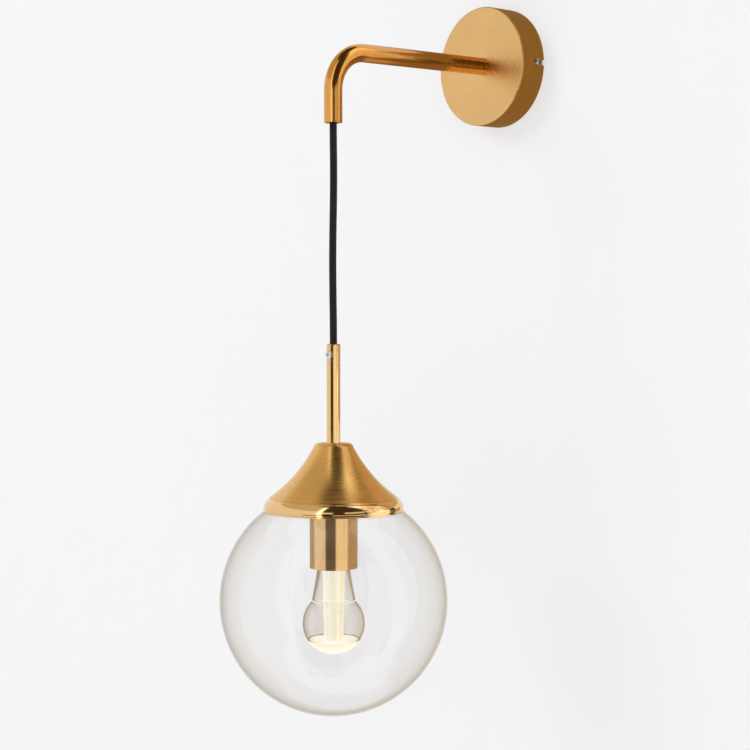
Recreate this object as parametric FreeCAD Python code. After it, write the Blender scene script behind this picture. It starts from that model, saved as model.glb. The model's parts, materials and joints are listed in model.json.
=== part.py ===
"""Globe wall sconce: a round wall canopy, a bent arm, a pendant on a fabric cord and a clear glass globe.

Millimetres, +Z up, +X to the right seen from the room, the wall is the plane Y = 0 and the room is at -Y.
The origin is the centre of the wall plate's back face. The arm runs straight out along -Y.
"""
import FreeCAD, Part
import math
import os

V = FreeCAD.Vector

# ---------------------------------------------------------------- driving sizes
# clearances
skin_gap = 0.3             # between curved faces of pieces that move apart
fit_gap = 0.05             # radial play of a shank or pipe in its hole
press_gap = 0.01           # radial play of a pressed-in sleeve or rivet
over_cut = 1.0             # how far a cut runs past the surface that it opens

# what all screws and nuts share
pan_side_share = 0.35      # upright edge of a pan head, of the head's height
screw_point = 0.4          # bevel at a shank's end
nut_bevel_share = 0.8      # bevel of a nut, of the step from its flats to its corners
slot_cut_width = 0.8
slot_cut_depth = 0.9

# canopy and wall plate
canopy_d = 110.0
canopy_depth = 28.0
canopy_wall = 1.2
canopy_edge_round = 1.2
plate_d = 96.0
plate_t = 1.5
plate_cable_hole_d = 20.0
slot_spacing = 70.0        # between the centres of the two wall screw slots
slot_length = 12.0
slot_width = 4.5
ear_width = 18.0
ear_t = 2.0
ear_height = 14.0
side_screw_back = 8.0      # from the wall to the side screws' axis
side_screw_head_d = 8.0
side_screw_head_h = 2.4
side_screw_length = 9.0
side_screw_cross = 4.4     # span of the cross recess
side_screw_cross_depth = 1.5
cross_width = 0.9
m4_d = 3.9
notch_width = 4.6

# arm
arm_reach = 207.0          # wall to the pendant's axis
arm_d = 16.0
arm_wall = 1.0
arm_bend_r = 31.0
arm_drop = 65.0            # arm axis down to the open end of the tube
root_bush_length = 14.0
m10_d = 9.9
m10_bore_d = 7.4
nipple_into_arm = 12.0
nipple_into_canopy = 9.0
nut_across = 14.0
nut_t = 3.0
lock_nut_t = 4.0
washer_d = 18.0
washer_t = 1.0

# fabric cord and its bushing in the arm's tip
cord_d = 6.5
cord_free = 192.0          # open end of the arm to the top of the stem
pivot_depth = 5.0          # the cord bends this far above the arm's open end
bush_recess = 1.0
bush_length = 18.0
bush_mouth_spare = 0.2     # more room for the leaning cord than the gap alone
bush_throat_spare = 0.05
bush_lead_in = 1.5
bush_throat_rise = 0.6     # from the bend up to where the throat is straight
bush_edge = 0.3
swing_side_deg = 20.0
swing_out_deg = 20.0

# cord grip, terminal block and earth in the canopy
grip_d = 16.0
grip_length = 10.6
grip_edge = 1.0
grip_screw_d = 3.0
grip_screw_from_end = 3.2
grip_screw_head_d = 5.0
grip_screw_head_h = 1.8
grip_screw_off_cord = 0.1
cable_stub = 1.0           # sheath that shows past the grip
lead_d = 1.8
lead_bend_r = 3.0
lead_side = 1.2            # live and neutral cores off the cable's middle
lead_above = 0.4
lead_into_pole = 5.0       # core that is held inside a pole
earth_lead_below = 1.9
earth_lead_bend_r = 2.2
block_width = 20.0
block_height = 16.0
block_depth = 12.0
block_z = 28.0
block_corner_r = 1.0
pole_spacing = 12.0
pole_screw_off = 4.0       # each clamping screw above or below the block's middle
pole_screw_sunk = 0.6
pole_screw_slot = 0.7
pole_bore_d = 3.0
pole_screw_d = 3.4
block_screw_d = 2.9
block_screw_head_d = 5.2
block_screw_head_h = 1.6
block_screw_cross = 2.8
block_screw_cross_width = 0.6
block_screw_cross_depth = 1.0
plate_screw_short = 0.2    # a screw in the plate ends this far before its back
earth_screw_z = -24.0
earth_tag_d = 9.0
earth_tag_t = 0.8
earth_crimp_width = 3.2
earth_crimp_length = 5.0
earth_crimp_lap = 0.6
earth_crimp_above = 3.0    # ring terminal's top up to the core's end
earth_lead_rise = 5.0
earth_screw_head_d = 7.6
earth_screw_head_h = 2.2
earth_screw_cross = 4.0
earth_screw_cross_depth = 1.4

# stem
stem_d = 12.0
stem_wall = 1.0
stem_length = 87.0
stem_chamfer = 0.8
sleeve_length = 18.0
set_screw_below_top = 9.2
set_screw_azimuth = 12.0   # turned from straight out towards +X
set_screw_head_d = 7.2
set_screw_head_h = 2.3
set_screw_socket = 2.5
set_screw_socket_depth = 1.5
pipe_into_stem = 15.0

# shade cap
cap_d = 123.0
cap_height = 59.1
cap_wall = 1.2
cap_flat_d = 27.4          # flat top, where the corner round starts
cap_corner_r = 3.5
cap_flare_r = 128.5
cap_shoulder_r = 12.0
cap_rim_straight = 1.5
cushion_d = 3.0
cushion_play = 0.02

# glass globe and its clips
globe_d = 200.0
glass_t = 2.2
neck_d = 76.0
neck_rise = 10.5           # neck above its circle on the sphere
neck_root_r = 3.0
neck_clear = 1.0           # neck's lip to the clips' feet
clip_t = 0.8
clip_width = 12.0
clip_count = 3
clip_leg = 13.0
clip_foot_inner = 23.0
clip_bend_r = 1.6
clip_lip = 3.0             # lead-in lip, as high as it is wide
clip_lip_turn = 0.4
rivet_d = 3.2
rivet_head_share = 0.9     # head's radius, of the shank's width
rivet_head_h = 1.0
rivet_ring_r = 27.0
carrier_d = 66.0
carrier_t = 1.2

# lampholder
holder_reach = 109.3       # top of the cap down to the mouth of the holder cup
holder_cup_d = 42.0
holder_cup_length = 60.0
holder_cup_wall = 1.0
holder_cup_round = 2.0
holder_d = 39.0
holder_recess = 2.0        # skirt's mouth above the cup's mouth
dome_height = 18.0
dome_top_t = 4.0
dome_wall = 2.5
dome_slope = 4.0
skirt_bore_d = 28.8
skirt_edge = 1.0
skirt_bore_edge = 0.8
core_t = 10.5
core_above_tip = 1.2
core_hole_d = 3.2
shell_t = 0.6
shell_length = 25.0
shell_rim = 2.0
holder_screw_spacing = 16.0
holder_screw_d = 3.0
holder_screw_length = 5.0
holder_screw_head_d = 4.6
holder_screw_head_h = 1.8
holder_lead_side = 1.5
holder_lead_out = 4.0
holder_lead_bend_r = 1.4
cable_past_pipe = 1.0
contact_gap = 0.05
contact_t = 0.5
contact_width = 4.0
contact_foot = (5.0, 9.0)  # where the tongue lies on the core, from the lamp's axis
contact_half = 2.0         # half of the flat that meets the bulb
contact_slope_in = 0.4

# bulb, screw cap E27
e27_d = 26.2
e27_root_d = 24.8
e27_pitch = 3.63
e27_turns = 6
e27_wall = 0.8
e27_plain = 1.2            # plain band under the thread
e27_top_lip = 1.0
insulator_h = 3.0
insulator_top_step = 0.4
contact_tip_d = 9.0
contact_tip_h = 1.4
bulb_neck_top_d = 27.2
bulb_seam_d = 37.9
bulb_seam_drop = 30.4      # screw cap's lower edge down to the seam
bulb_seam_t = 1.2
bulb_ball_d = 54.6
bulb_ball_drop = 51.1      # screw cap's lower edge down to the ball's centre
bulb_lens_drop = 14.3      # ball's centre down to the lens's flat top
bulb_wall = 1.2
bulb_collar_h = 3.0
guide_top_d = 20.0
guide_foot_d = 17.0
guide_top_above = 0.5      # over the screw cap's lower edge
guide_clear = 0.3
led_board_d = 23.0
led_board_t = 1.5
led_board_hole_d = 1.6
driver_width = 16.0
driver_height = 18.0
driver_t = 1.6
coil_d = 7.0
coil_h = 4.0
coil_rise = 6.0

# ---------------------------------------------------------------- worked-out levels and radii
arm_tip_z = -arm_drop
pivot_z = arm_tip_z + pivot_depth
stem_top_z = arm_tip_z - cord_free
cap_top_z = stem_top_z - stem_length
cap_bottom_z = cap_top_z - cap_height
globe_r = globe_d / 2
cap_r = cap_d / 2
globe_z = cap_bottom_z - math.sqrt((globe_r + skin_gap) ** 2 - cap_r ** 2)
neck_r = neck_d / 2
neck_inner_r = neck_r - glass_t
neck_top_z = globe_z + math.sqrt(globe_r ** 2 - neck_r ** 2) + neck_rise
clip_top_z = neck_top_z + neck_clear + clip_t
cup_bottom_z = cap_top_z - holder_reach
cup_top_z = cup_bottom_z + holder_cup_length
dome_top_z = cup_top_z - holder_cup_wall
dome_base_z = dome_top_z - dome_height
skirt_base_z = cup_bottom_z + holder_recess
pipe_bottom_z = dome_top_z - dome_top_t
bulb_z = skirt_base_z                       # lower edge of the bulb's screw cap
thread_length = e27_plain + e27_pitch * e27_turns
tip_top_z = bulb_z + thread_length + insulator_h + contact_tip_h
core_base_z = tip_top_z + core_above_tip
ball_z = bulb_z - bulb_ball_drop
ball_r = bulb_ball_d / 2
seam_z = bulb_z - bulb_seam_drop
lens_z = ball_z - bulb_lens_drop
canopy_r = canopy_d / 2
canopy_inner_r = canopy_r - canopy_wall
cord_r = cord_d / 2
m4_r = m4_d / 2
m10_r = m10_d / 2
m10_hole_r = m10_r + fit_gap
m4_hole_r = m4_r + fit_gap
pole_places = (-pole_spacing / 2, pole_spacing / 2)
pole_screw_heights = (block_z - pole_screw_off, block_z + pole_screw_off)
block_front_y = -plate_t - block_depth
pole_y = -plate_t - block_depth / 2
cable_end_z = pipe_bottom_z + cable_past_pipe
ear_outer_x = math.sqrt((canopy_inner_r - skin_gap) ** 2 - (ear_width / 2) ** 2)


# ---------------------------------------------------------------- drawing helpers
def at(x, y, z):
    return V(x, y, z)


def outline_face(start, steps):
    """Closed face in the XZ plane. A step is a point (x, z), or for an arc a pair (point on the way, end)."""
    edges = []
    here = start
    for step in list(steps) + [start]:
        curved = isinstance(step[0], tuple)
        end = step[1] if curved else step
        a = at(here[0], 0, here[1])
        b = at(end[0], 0, end[1])
        if a.distanceToPoint(b) > 1e-6:
            if curved:
                edges.append(Part.Arc(a, at(step[0][0], 0, step[0][1]), b).toShape())
            else:
                edges.append(Part.LineSegment(a, b).toShape())
        here = end
    return Part.Face(Part.Wire(edges))


def lathe(start, *steps):
    """Solid turned about the Z axis from an outline of (radius, height) steps."""
    return outline_face(start, steps).revolve(at(0, 0, 0), at(0, 0, 1), 360)


def ring(outer_r, inner_r, low, high):
    return lathe((inner_r, low), (outer_r, low), (outer_r, high), (inner_r, high))


def rod(radius, base, direction, length):
    return Part.makeCylinder(radius, length, base, direction)


def block(low, high):
    return Part.makeBox(high[0] - low[0], high[1] - low[1], high[2] - low[2], at(*low))


def crown(radius, low, high):
    """Outline step over a round crown, from its edge at (radius, low) to its top on the axis."""
    ball = (radius ** 2 + (high - low) ** 2) / (2 * (high - low))
    centre = (0, high - ball)
    return (on_circle(centre, ball, (radius / 2, (low + high) / 2)), (0, high))


def hex_nut(across, height, hole_r):
    corner_r = across / math.sqrt(3)
    corners = [at(corner_r * math.cos(math.radians(60 * i)), corner_r * math.sin(math.radians(60 * i)), 0)
               for i in range(7)]
    body = Part.Face(Part.makePolygon(corners)).extrude(at(0, 0, height))
    bevel = (corner_r - across / 2) * nut_bevel_share
    barrel = lathe((0, 0), (corner_r - bevel, 0), (corner_r, bevel / 2), (corner_r, height - bevel / 2),
                   (corner_r - bevel, height), (0, height))
    return body.common(barrel).cut(rod(hole_r, at(0, 0, -over_cut), at(0, 0, 1), height + 2 * over_cut))


def pan_head_screw(head_d, head_h, shank_d, length, recess):
    """Screw on the Z axis, head above Z = 0, shank below. The recess is cut from the head."""
    head_r = head_d / 2
    shank_r = shank_d / 2
    side_h = head_h * pan_side_share
    body = lathe((0, -length), (shank_r - screw_point, -length), (shank_r, screw_point - length),
                 (shank_r, 0), (head_r, 0), (head_r, side_h), crown(head_r, side_h, head_h))
    return body.cut(recess)


def cross_recess(head_h, span, width, depth):
    low = head_h - depth
    high = head_h + over_cut
    one = block((-span / 2, -width / 2, low), (span / 2, width / 2, high))
    two = block((-width / 2, -span / 2, low), (width / 2, span / 2, high))
    return one.fuse(two)


def slot_recess(head_d, head_h, width, depth):
    return block((-head_d, -width / 2, head_h - depth), (head_d, width / 2, head_h + over_cut))


def hex_recess(head_h, across, depth):
    corner_r = across / math.sqrt(3)
    corners = [at(corner_r * math.cos(math.radians(60 * i)), corner_r * math.sin(math.radians(60 * i)),
                  head_h - depth) for i in range(7)]
    return Part.Face(Part.makePolygon(corners)).extrude(at(0, 0, depth + over_cut))


def aim(shape, base, direction):
    """Copy of a shape drawn on the Z axis, moved so that +Z points along direction from base."""
    turn = FreeCAD.Rotation(at(0, 0, 1), direction)
    out = shape.copy()
    out.Placement = FreeCAD.Placement(base, turn)
    return out


def on_pendant(shape, z=0.0):
    """Copy of a shape drawn on the Z axis, moved to the pendant's axis."""
    out = shape.copy()
    out.translate(at(0, -arm_reach, z))
    return out


def route_wire(points, bend_r):
    """Straight runs joined by tangent arcs of one radius, through a list of (x, y, z) points."""
    runs = [at(*p) for p in points]
    edges = []
    here = runs[0]
    for before, corner, after in zip(runs, runs[1:], runs[2:]):
        into = (corner - before).normalize()
        out = (after - corner).normalize()
        half = into.getAngle(out) / 2
        cut_back = bend_r * math.tan(half)
        start = corner - into * cut_back
        end = corner + out * cut_back
        inward = (out - into).normalize()
        middle = corner + inward * (bend_r / math.cos(half) - bend_r)
        if here.distanceToPoint(start) > 1e-6:
            edges.append(Part.LineSegment(here, start).toShape())
        edges.append(Part.Arc(start, middle, end).toShape())
        here = end
    if here.distanceToPoint(runs[-1]) > 1e-6:
        edges.append(Part.LineSegment(here, runs[-1]).toShape())
    return Part.Wire(edges)


def tube_along(points, radius, bend_r):
    """Round solid along a route."""
    spine = route_wire(points, bend_r)
    heading = at(*points[1]) - at(*points[0])
    circle = Part.Wire(Part.Circle(at(*points[0]), heading, radius).toShape())
    return Part.Solid(spine.makePipeShell([circle], True, False))


def circle_cross(centre_a, r_a, centre_b, r_b, side):
    """Point where two circles meet, on the side given by +1 or -1 of the line from a to b."""
    dx = centre_b[0] - centre_a[0]
    dz = centre_b[1] - centre_a[1]
    apart = math.hypot(dx, dz)
    along = (apart ** 2 + r_a ** 2 - r_b ** 2) / (2 * apart)
    off = math.sqrt(r_a ** 2 - along ** 2) * side
    return (centre_a[0] + (dx * along - dz * off) / apart, centre_a[1] + (dz * along + dx * off) / apart)


def on_circle(centre, radius, towards):
    """Point of a circle in the direction of another point."""
    dx = towards[0] - centre[0]
    dz = towards[1] - centre[1]
    apart = math.hypot(dx, dz)
    return (centre[0] + dx * radius / apart, centre[1] + dz * radius / apart)


def middle_of_arc(centre, radius, a, b):
    return on_circle(centre, radius, ((a[0] + b[0]) / 2, (a[1] + b[1]) / 2))


def sphere_height(radius, at_r):
    return math.sqrt(radius ** 2 - at_r ** 2)


# ---------------------------------------------------------------- wall plate and canopy
def wall_plate():
    out_y = at(0, -1, 0)
    plate = rod(plate_d / 2, at(0, 0, 0), out_y, plate_t)
    plate = plate.fuse(block((-ear_outer_x, -plate_t, -ear_width / 2), (ear_outer_x, 0, ear_width / 2)))
    for side in (-1, 1):
        xs = sorted((side * ear_outer_x, side * (ear_outer_x - ear_t)))
        plate = plate.fuse(block((xs[0], -ear_height, -ear_width / 2), (xs[1], 0, ear_width / 2)))
    through = plate_t + 2 * over_cut
    plate = plate.cut(rod(m4_hole_r, at(-canopy_r, -side_screw_back, 0), at(1, 0, 0), canopy_d))
    plate = plate.cut(rod(plate_cable_hole_d / 2, at(0, over_cut, 0), out_y, through))
    plate = plate.cut(rod(m4_hole_r, at(0, over_cut, earth_screw_z), out_y, through))
    plate = plate.cut(rod(block_screw_d / 2 + fit_gap, at(0, over_cut, block_z), out_y, through))
    for side in (-1, 1):
        plate = plate.cut(wall_slot(side * slot_spacing / 2))
    return plate.removeSplitter()


def wall_slot(centre_x):
    reach = (slot_length - slot_width) / 2
    half = slot_width / 2
    slot = block((centre_x - reach, -plate_t - over_cut, -half), (centre_x + reach, over_cut, half))
    for end in (-reach, reach):
        slot = slot.fuse(rod(half, at(centre_x + end, over_cut, 0), at(0, -1, 0), plate_t + 2 * over_cut))
    return slot


def canopy():
    r = canopy_r
    wall = canopy_wall
    front = canopy_depth
    bend = canopy_edge_round
    hole_r = m10_hole_r
    quarter = bend * math.sqrt(0.5)
    cup = lathe((r - wall, 0), (r, 0), (r, front - bend),
                ((r - bend + quarter, front - bend + quarter), (r - bend, front)),
                (hole_r, front), (hole_r, front - wall), (r - wall, front - wall))
    cup = aim(cup, at(0, 0, 0), at(0, -1, 0))
    for side in (-1, 1):
        cup = cup.cut(canopy_notch(side))
    return cup


def canopy_notch(side):
    """Slot from the side screw to the canopy's back edge, so that the canopy lifts off a loosened screw."""
    xs = sorted((side * (ear_outer_x - ear_t), side * (canopy_r + over_cut)))
    notch = block((xs[0], -side_screw_back, -notch_width / 2), (xs[1], over_cut, notch_width / 2))
    return notch.fuse(rod(notch_width / 2, at(xs[0], -side_screw_back, 0), at(1, 0, 0), xs[1] - xs[0]))


def canopy_screws():
    recess = cross_recess(side_screw_head_h, side_screw_cross, cross_width, side_screw_cross_depth)
    screw = pan_head_screw(side_screw_head_d, side_screw_head_h, m4_d, side_screw_length, recess)
    both = [aim(screw, at(side * (canopy_r + fit_gap), -side_screw_back, 0), at(side, 0, 0))
            for side in (-1, 1)]
    return Part.makeCompound(both)


# ---------------------------------------------------------------- arm
def arm_route(start_y, end_z):
    return [(0, start_y, 0), (0, -arm_reach, 0), (0, -arm_reach, end_z)]


def arm_tube():
    route = arm_route(-canopy_depth, arm_tip_z)
    outer = tube_along(route, arm_d / 2, arm_bend_r)
    inner = tube_along(route, arm_d / 2 - arm_wall, arm_bend_r)
    return outer.cut(inner)


def arm_root_bush():
    bore = m10_hole_r
    bush = ring(arm_d / 2 - arm_wall - fit_gap, bore, 0, root_bush_length)
    return aim(bush, at(0, -canopy_depth, 0), at(0, -1, 0))


def arm_nipple():
    length = nipple_into_arm + nipple_into_canopy + canopy_wall
    pipe = ring(m10_r, m10_bore_d / 2, 0, length)
    return aim(pipe, at(0, -canopy_depth + canopy_wall + nipple_into_canopy, 0), at(0, -1, 0))


def arm_lock_washer():
    inside = -canopy_depth + canopy_wall
    return aim(ring(washer_d / 2, m10_hole_r, 0, washer_t), at(0, inside, 0), at(0, 1, 0))


def arm_lock_nut():
    inside = -canopy_depth + canopy_wall + washer_t
    return aim(hex_nut(nut_across, lock_nut_t, m10_hole_r), at(0, inside, 0), at(0, 1, 0))


def swing_cone():
    """Widest lean of the cord when it swings sideways and outwards at once."""
    a = math.radians(swing_side_deg)
    b = math.radians(swing_out_deg)
    return math.acos(math.cos(a) * math.cos(b))


def arm_tip_bush():
    """Nylon liner of the arm's tip. It opens like a bell below the cord's bend, so that the cord can lean."""
    lean = swing_cone()
    deep = pivot_depth - bush_recess
    mouth_r = deep * math.tan(lean) + cord_r / math.cos(lean) + skin_gap + bush_mouth_spare
    throat_r = cord_r + skin_gap + bush_throat_spare
    outer_r = arm_d / 2 - arm_wall - fit_gap
    low = -deep
    high = low + bush_length
    bush = lathe((mouth_r, low), (outer_r, low), (outer_r, high), (throat_r + bush_lead_in, high),
                 (throat_r, high - bush_lead_in), (throat_r, bush_throat_rise),
                 (mouth_r - bush_edge, low + bush_edge))
    return on_pendant(bush, pivot_z)


def grip_front_y():
    return -canopy_depth + canopy_wall + washer_t + lock_nut_t + fit_gap


def arm_cable_end_y():
    return grip_front_y() + grip_length + cable_stub


def arm_cable():
    """The cord's run inside the canopy and the arm, held all the way."""
    top = pivot_z + cord_r + skin_gap
    return tube_along(arm_route(arm_cable_end_y(), top), cord_r, arm_bend_r)


def cord_grip():
    """Nylon cord grip on the nipple's inner end: a nut part, then a clamp round the cable."""
    over_thread = -canopy_depth + canopy_wall + nipple_into_canopy + fit_gap - grip_front_y()
    clamp_r = cord_r + fit_gap
    outer = grip_d / 2
    body = lathe((m10_hole_r, 0), (outer, 0), (outer, grip_length - grip_edge),
                 (outer - grip_edge, grip_length), (clamp_r, grip_length), (clamp_r, over_thread),
                 (m10_hole_r, over_thread))
    body = aim(body, at(0, grip_front_y(), 0), at(0, 1, 0))
    return body.cut(rod(grip_screw_d / 2 + fit_gap, at(0, grip_screw_y(), 0), at(0, 0, -1), grip_d))


def grip_screw_y():
    return grip_front_y() + grip_length - grip_screw_from_end


def cord_grip_screw():
    length = grip_d / 2 - cord_r - grip_screw_off_cord
    recess = slot_recess(grip_screw_head_d, grip_screw_head_h, slot_cut_width, slot_cut_depth)
    screw = pan_head_screw(grip_screw_head_d, grip_screw_head_h, grip_screw_d, length, recess)
    return aim(screw, at(0, grip_screw_y(), -grip_d / 2 - fit_gap), at(0, 0, -1))


# ---------------------------------------------------------------- wiring in the canopy
def terminal_block():
    half_x = block_width / 2
    low_z = block_z - block_height / 2
    body = block((-half_x, block_front_y, low_z), (half_x, -plate_t, low_z + block_height))
    along_y = [e for e in body.Edges if abs(e.BoundBox.YLength - block_depth) < 1e-6]
    body = body.makeFillet(block_corner_r, along_y)
    pole_length = block_height + 2 * over_cut
    for x in pole_places:
        body = body.cut(rod(pole_bore_d / 2, at(x, pole_y, low_z - over_cut), at(0, 0, 1), pole_length))
        for z in pole_screw_heights:
            body = body.cut(rod(pole_screw_d / 2 + fit_gap, at(x, pole_y, z), at(0, -1, 0), block_depth))
    through = plate_t + block_depth + over_cut
    return body.cut(rod(block_screw_d / 2 + fit_gap, at(0, 0, block_z), at(0, -1, 0), through))


def terminal_screws():
    """Four clamping screws, two on each pole."""
    screw_r = pole_screw_d / 2
    base = pole_y - lead_d / 2 - fit_gap
    length = base - block_front_y - pole_screw_sunk
    slot = slot_recess(pole_screw_d, length, pole_screw_slot, slot_cut_depth)
    screw = rod(screw_r, at(0, 0, 0), at(0, 0, 1), length).cut(slot)
    pieces = []
    for x in pole_places:
        for z in pole_screw_heights:
            pieces.append(aim(screw, at(x, base, z), at(0, -1, 0)))
    return Part.makeCompound(pieces)


def terminal_block_screw():
    recess = cross_recess(block_screw_head_h, block_screw_cross, block_screw_cross_width,
                          block_screw_cross_depth)
    length = block_depth + plate_t - plate_screw_short
    screw = pan_head_screw(block_screw_head_d, block_screw_head_h, block_screw_d, length, recess)
    return aim(screw, at(0, block_front_y, block_z), at(0, -1, 0))


def supply_lead(side):
    """Insulated core from the cable's end up into one pole of the terminal block."""
    end = arm_cable_end_y()
    x_start = side * lead_side
    x_pole = side * pole_spacing / 2
    foot = block_z - block_height / 2
    route = [(x_start, end, lead_above), (x_start, pole_y, lead_above),
             (x_pole, pole_y, foot / 2), (x_pole, pole_y, foot + lead_into_pole)]
    return tube_along(route, lead_d / 2, lead_bend_r)


def earth_lead():
    """Core from the cable's end down to the ring terminal."""
    end = arm_cable_end_y()
    tag_front = -plate_t - earth_tag_t
    crimp_z = earth_screw_z + earth_tag_d / 2 + earth_crimp_above
    route = [(0, end, -earth_lead_below), (0, pole_y, -earth_lead_below),
             (0, pole_y, crimp_z + earth_lead_rise), (0, tag_front - lead_d / 2, crimp_z)]
    return tube_along(route, lead_d / 2, earth_lead_bend_r)


def earth_tag():
    tag = ring(earth_tag_d / 2, m4_hole_r, 0, earth_tag_t)
    tag = aim(tag, at(0, -plate_t, earth_screw_z), at(0, -1, 0))
    high = earth_screw_z + earth_tag_d / 2
    half = earth_crimp_width / 2
    crimp = block((-half, -plate_t - earth_tag_t, high - earth_crimp_lap),
                  (half, -plate_t, high + earth_crimp_length))
    return tag.fuse(crimp).removeSplitter()


def earth_screw():
    recess = cross_recess(earth_screw_head_h, earth_screw_cross, cross_width, earth_screw_cross_depth)
    length = plate_t + earth_tag_t - plate_screw_short
    screw = pan_head_screw(earth_screw_head_d, earth_screw_head_h, m4_d, length, recess)
    return aim(screw, at(0, -plate_t - earth_tag_t, earth_screw_z), at(0, -1, 0))


# ---------------------------------------------------------------- hanging cord and stem
def cord_bend():
    """Short bend of the cord in the arm's tip, about which the pendant swings."""
    return on_pendant(Part.makeSphere(cord_r), pivot_z)


def hanging_cord():
    """Straight, loaded run of the cord from its bend down to the stem."""
    top = pivot_z - cord_r - skin_gap
    return on_pendant(rod(cord_r, at(0, 0, stem_top_z), at(0, 0, 1), top - stem_top_z))


def set_screw_direction():
    a = math.radians(set_screw_azimuth)
    return at(math.sin(a), -math.cos(a), 0)


def set_screw_axis():
    return at(0, -arm_reach, stem_top_z - set_screw_below_top)


def set_screw_hole():
    return rod(m4_hole_r, set_screw_axis(), set_screw_direction(), stem_d)


def stem_tube():
    outer = stem_d / 2
    inner = outer - stem_wall
    tube = lathe((inner, cap_top_z), (outer, cap_top_z), (outer, stem_top_z - stem_chamfer),
                 (outer - stem_chamfer, stem_top_z), (inner, stem_top_z))
    return on_pendant(tube).cut(set_screw_hole())


def stem_grip_sleeve():
    """Plug in the stem's top that carries the set screw's thread and guides the cord."""
    outer = stem_d / 2 - stem_wall - press_gap
    sleeve = ring(outer, cord_r + fit_gap, stem_top_z - sleeve_length, stem_top_z)
    return on_pendant(sleeve).cut(set_screw_hole())


def stem_set_screw():
    length = stem_d / 2 - cord_r - fit_gap
    recess = hex_recess(set_screw_head_h, set_screw_socket, set_screw_socket_depth)
    screw = pan_head_screw(set_screw_head_d, set_screw_head_h, m4_d, length, recess)
    out = set_screw_direction()
    return aim(screw, set_screw_axis() + out * (stem_d / 2), out)


def stem_cable():
    """The cord's run inside the stem and the threaded pipe."""
    return on_pendant(rod(cord_r, at(0, 0, cable_end_z), at(0, 0, 1), stem_top_z - cable_end_z))


# ---------------------------------------------------------------- cap and its pipe
def threaded_pipe():
    high = cap_top_z + pipe_into_stem
    return on_pendant(ring(m10_r, m10_bore_d / 2, pipe_bottom_z, high))


def cap_curve(inset):
    """Corner, flare and shoulder of the cap's outline, moved inwards by inset.

    The flare is one large arc that meets the corner round and the shoulder round without a kink.
    """
    corner_c = (cap_flat_d / 2, cap_top_z - cap_corner_r)
    shoulder_c = (cap_r - cap_shoulder_r, cap_bottom_z + cap_rim_straight)
    flare_c = circle_cross(corner_c, cap_flare_r + cap_corner_r, shoulder_c, cap_flare_r + cap_shoulder_r, 1)
    corner_r = cap_corner_r - inset
    shoulder_r = cap_shoulder_r - inset
    flare_r = cap_flare_r + inset
    top = (corner_c[0], cap_top_z - inset)
    flare_top = on_circle(corner_c, corner_r, flare_c)
    flare_low = on_circle(shoulder_c, shoulder_r, flare_c)
    side = (cap_r - inset, shoulder_c[1])
    steps = [(middle_of_arc(corner_c, corner_r, top, flare_top), flare_top),
             (middle_of_arc(flare_c, flare_r, flare_top, flare_low), flare_low),
             (middle_of_arc(shoulder_c, shoulder_r, flare_low, side), side)]
    return top, steps, shoulder_c


def reversed_steps(start, steps):
    """The same outline steps walked from their end back to start."""
    ends = [start] + [s[1] for s in steps]
    back = []
    for i in range(len(steps) - 1, -1, -1):
        back.append((steps[i][0], ends[i]))
    return ends[-1], back


def shade_cap():
    hole_r = m10_hole_r
    top, outer_steps, _ = cap_curve(0)
    inner_top, inner_steps, _ = cap_curve(cap_wall)
    inner_side, back = reversed_steps(inner_top, inner_steps)
    inner_r = cap_r - cap_wall
    inner_low = globe_z + sphere_height(globe_r + skin_gap, inner_r)
    cap = lathe((hole_r, cap_top_z), top, *outer_steps, (cap_r, cap_bottom_z), (inner_r, inner_low),
                inner_side, *back, (hole_r, cap_top_z - cap_wall))
    return on_pendant(cap)


def cap_washer():
    low = cap_top_z - cap_wall - washer_t
    return on_pendant(ring(washer_d / 2, m10_hole_r, 0, washer_t), low)


def pipe_nut(low):
    return on_pendant(hex_nut(nut_across, nut_t, m10_hole_r), low)


def cap_nut():
    return pipe_nut(cap_top_z - cap_wall - washer_t - nut_t)


def carrier_nuts():
    return Part.makeCompound([pipe_nut(clip_top_z + carrier_t), pipe_nut(clip_top_z - nut_t)])


def cup_nut():
    return pipe_nut(cup_top_z)


# ---------------------------------------------------------------- glass carrier
def clip_angles():
    return [360.0 * i / clip_count + 30 for i in range(clip_count)]


def turned_copies(shape, angles):
    pieces = []
    for angle in angles:
        piece = shape.copy()
        piece.rotate(at(0, 0, 0), at(0, 0, 1), angle)
        pieces.append(piece)
    return pieces


def clip_carrier():
    plate = ring(carrier_d / 2, m10_hole_r, 0, carrier_t)
    rivet_hole = rod(rivet_d / 2, at(rivet_ring_r, 0, -over_cut), at(0, 0, 1), carrier_t + 2 * over_cut)
    for hole in turned_copies(rivet_hole, clip_angles()):
        plate = plate.cut(hole)
    return on_pendant(plate, clip_top_z)


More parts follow.
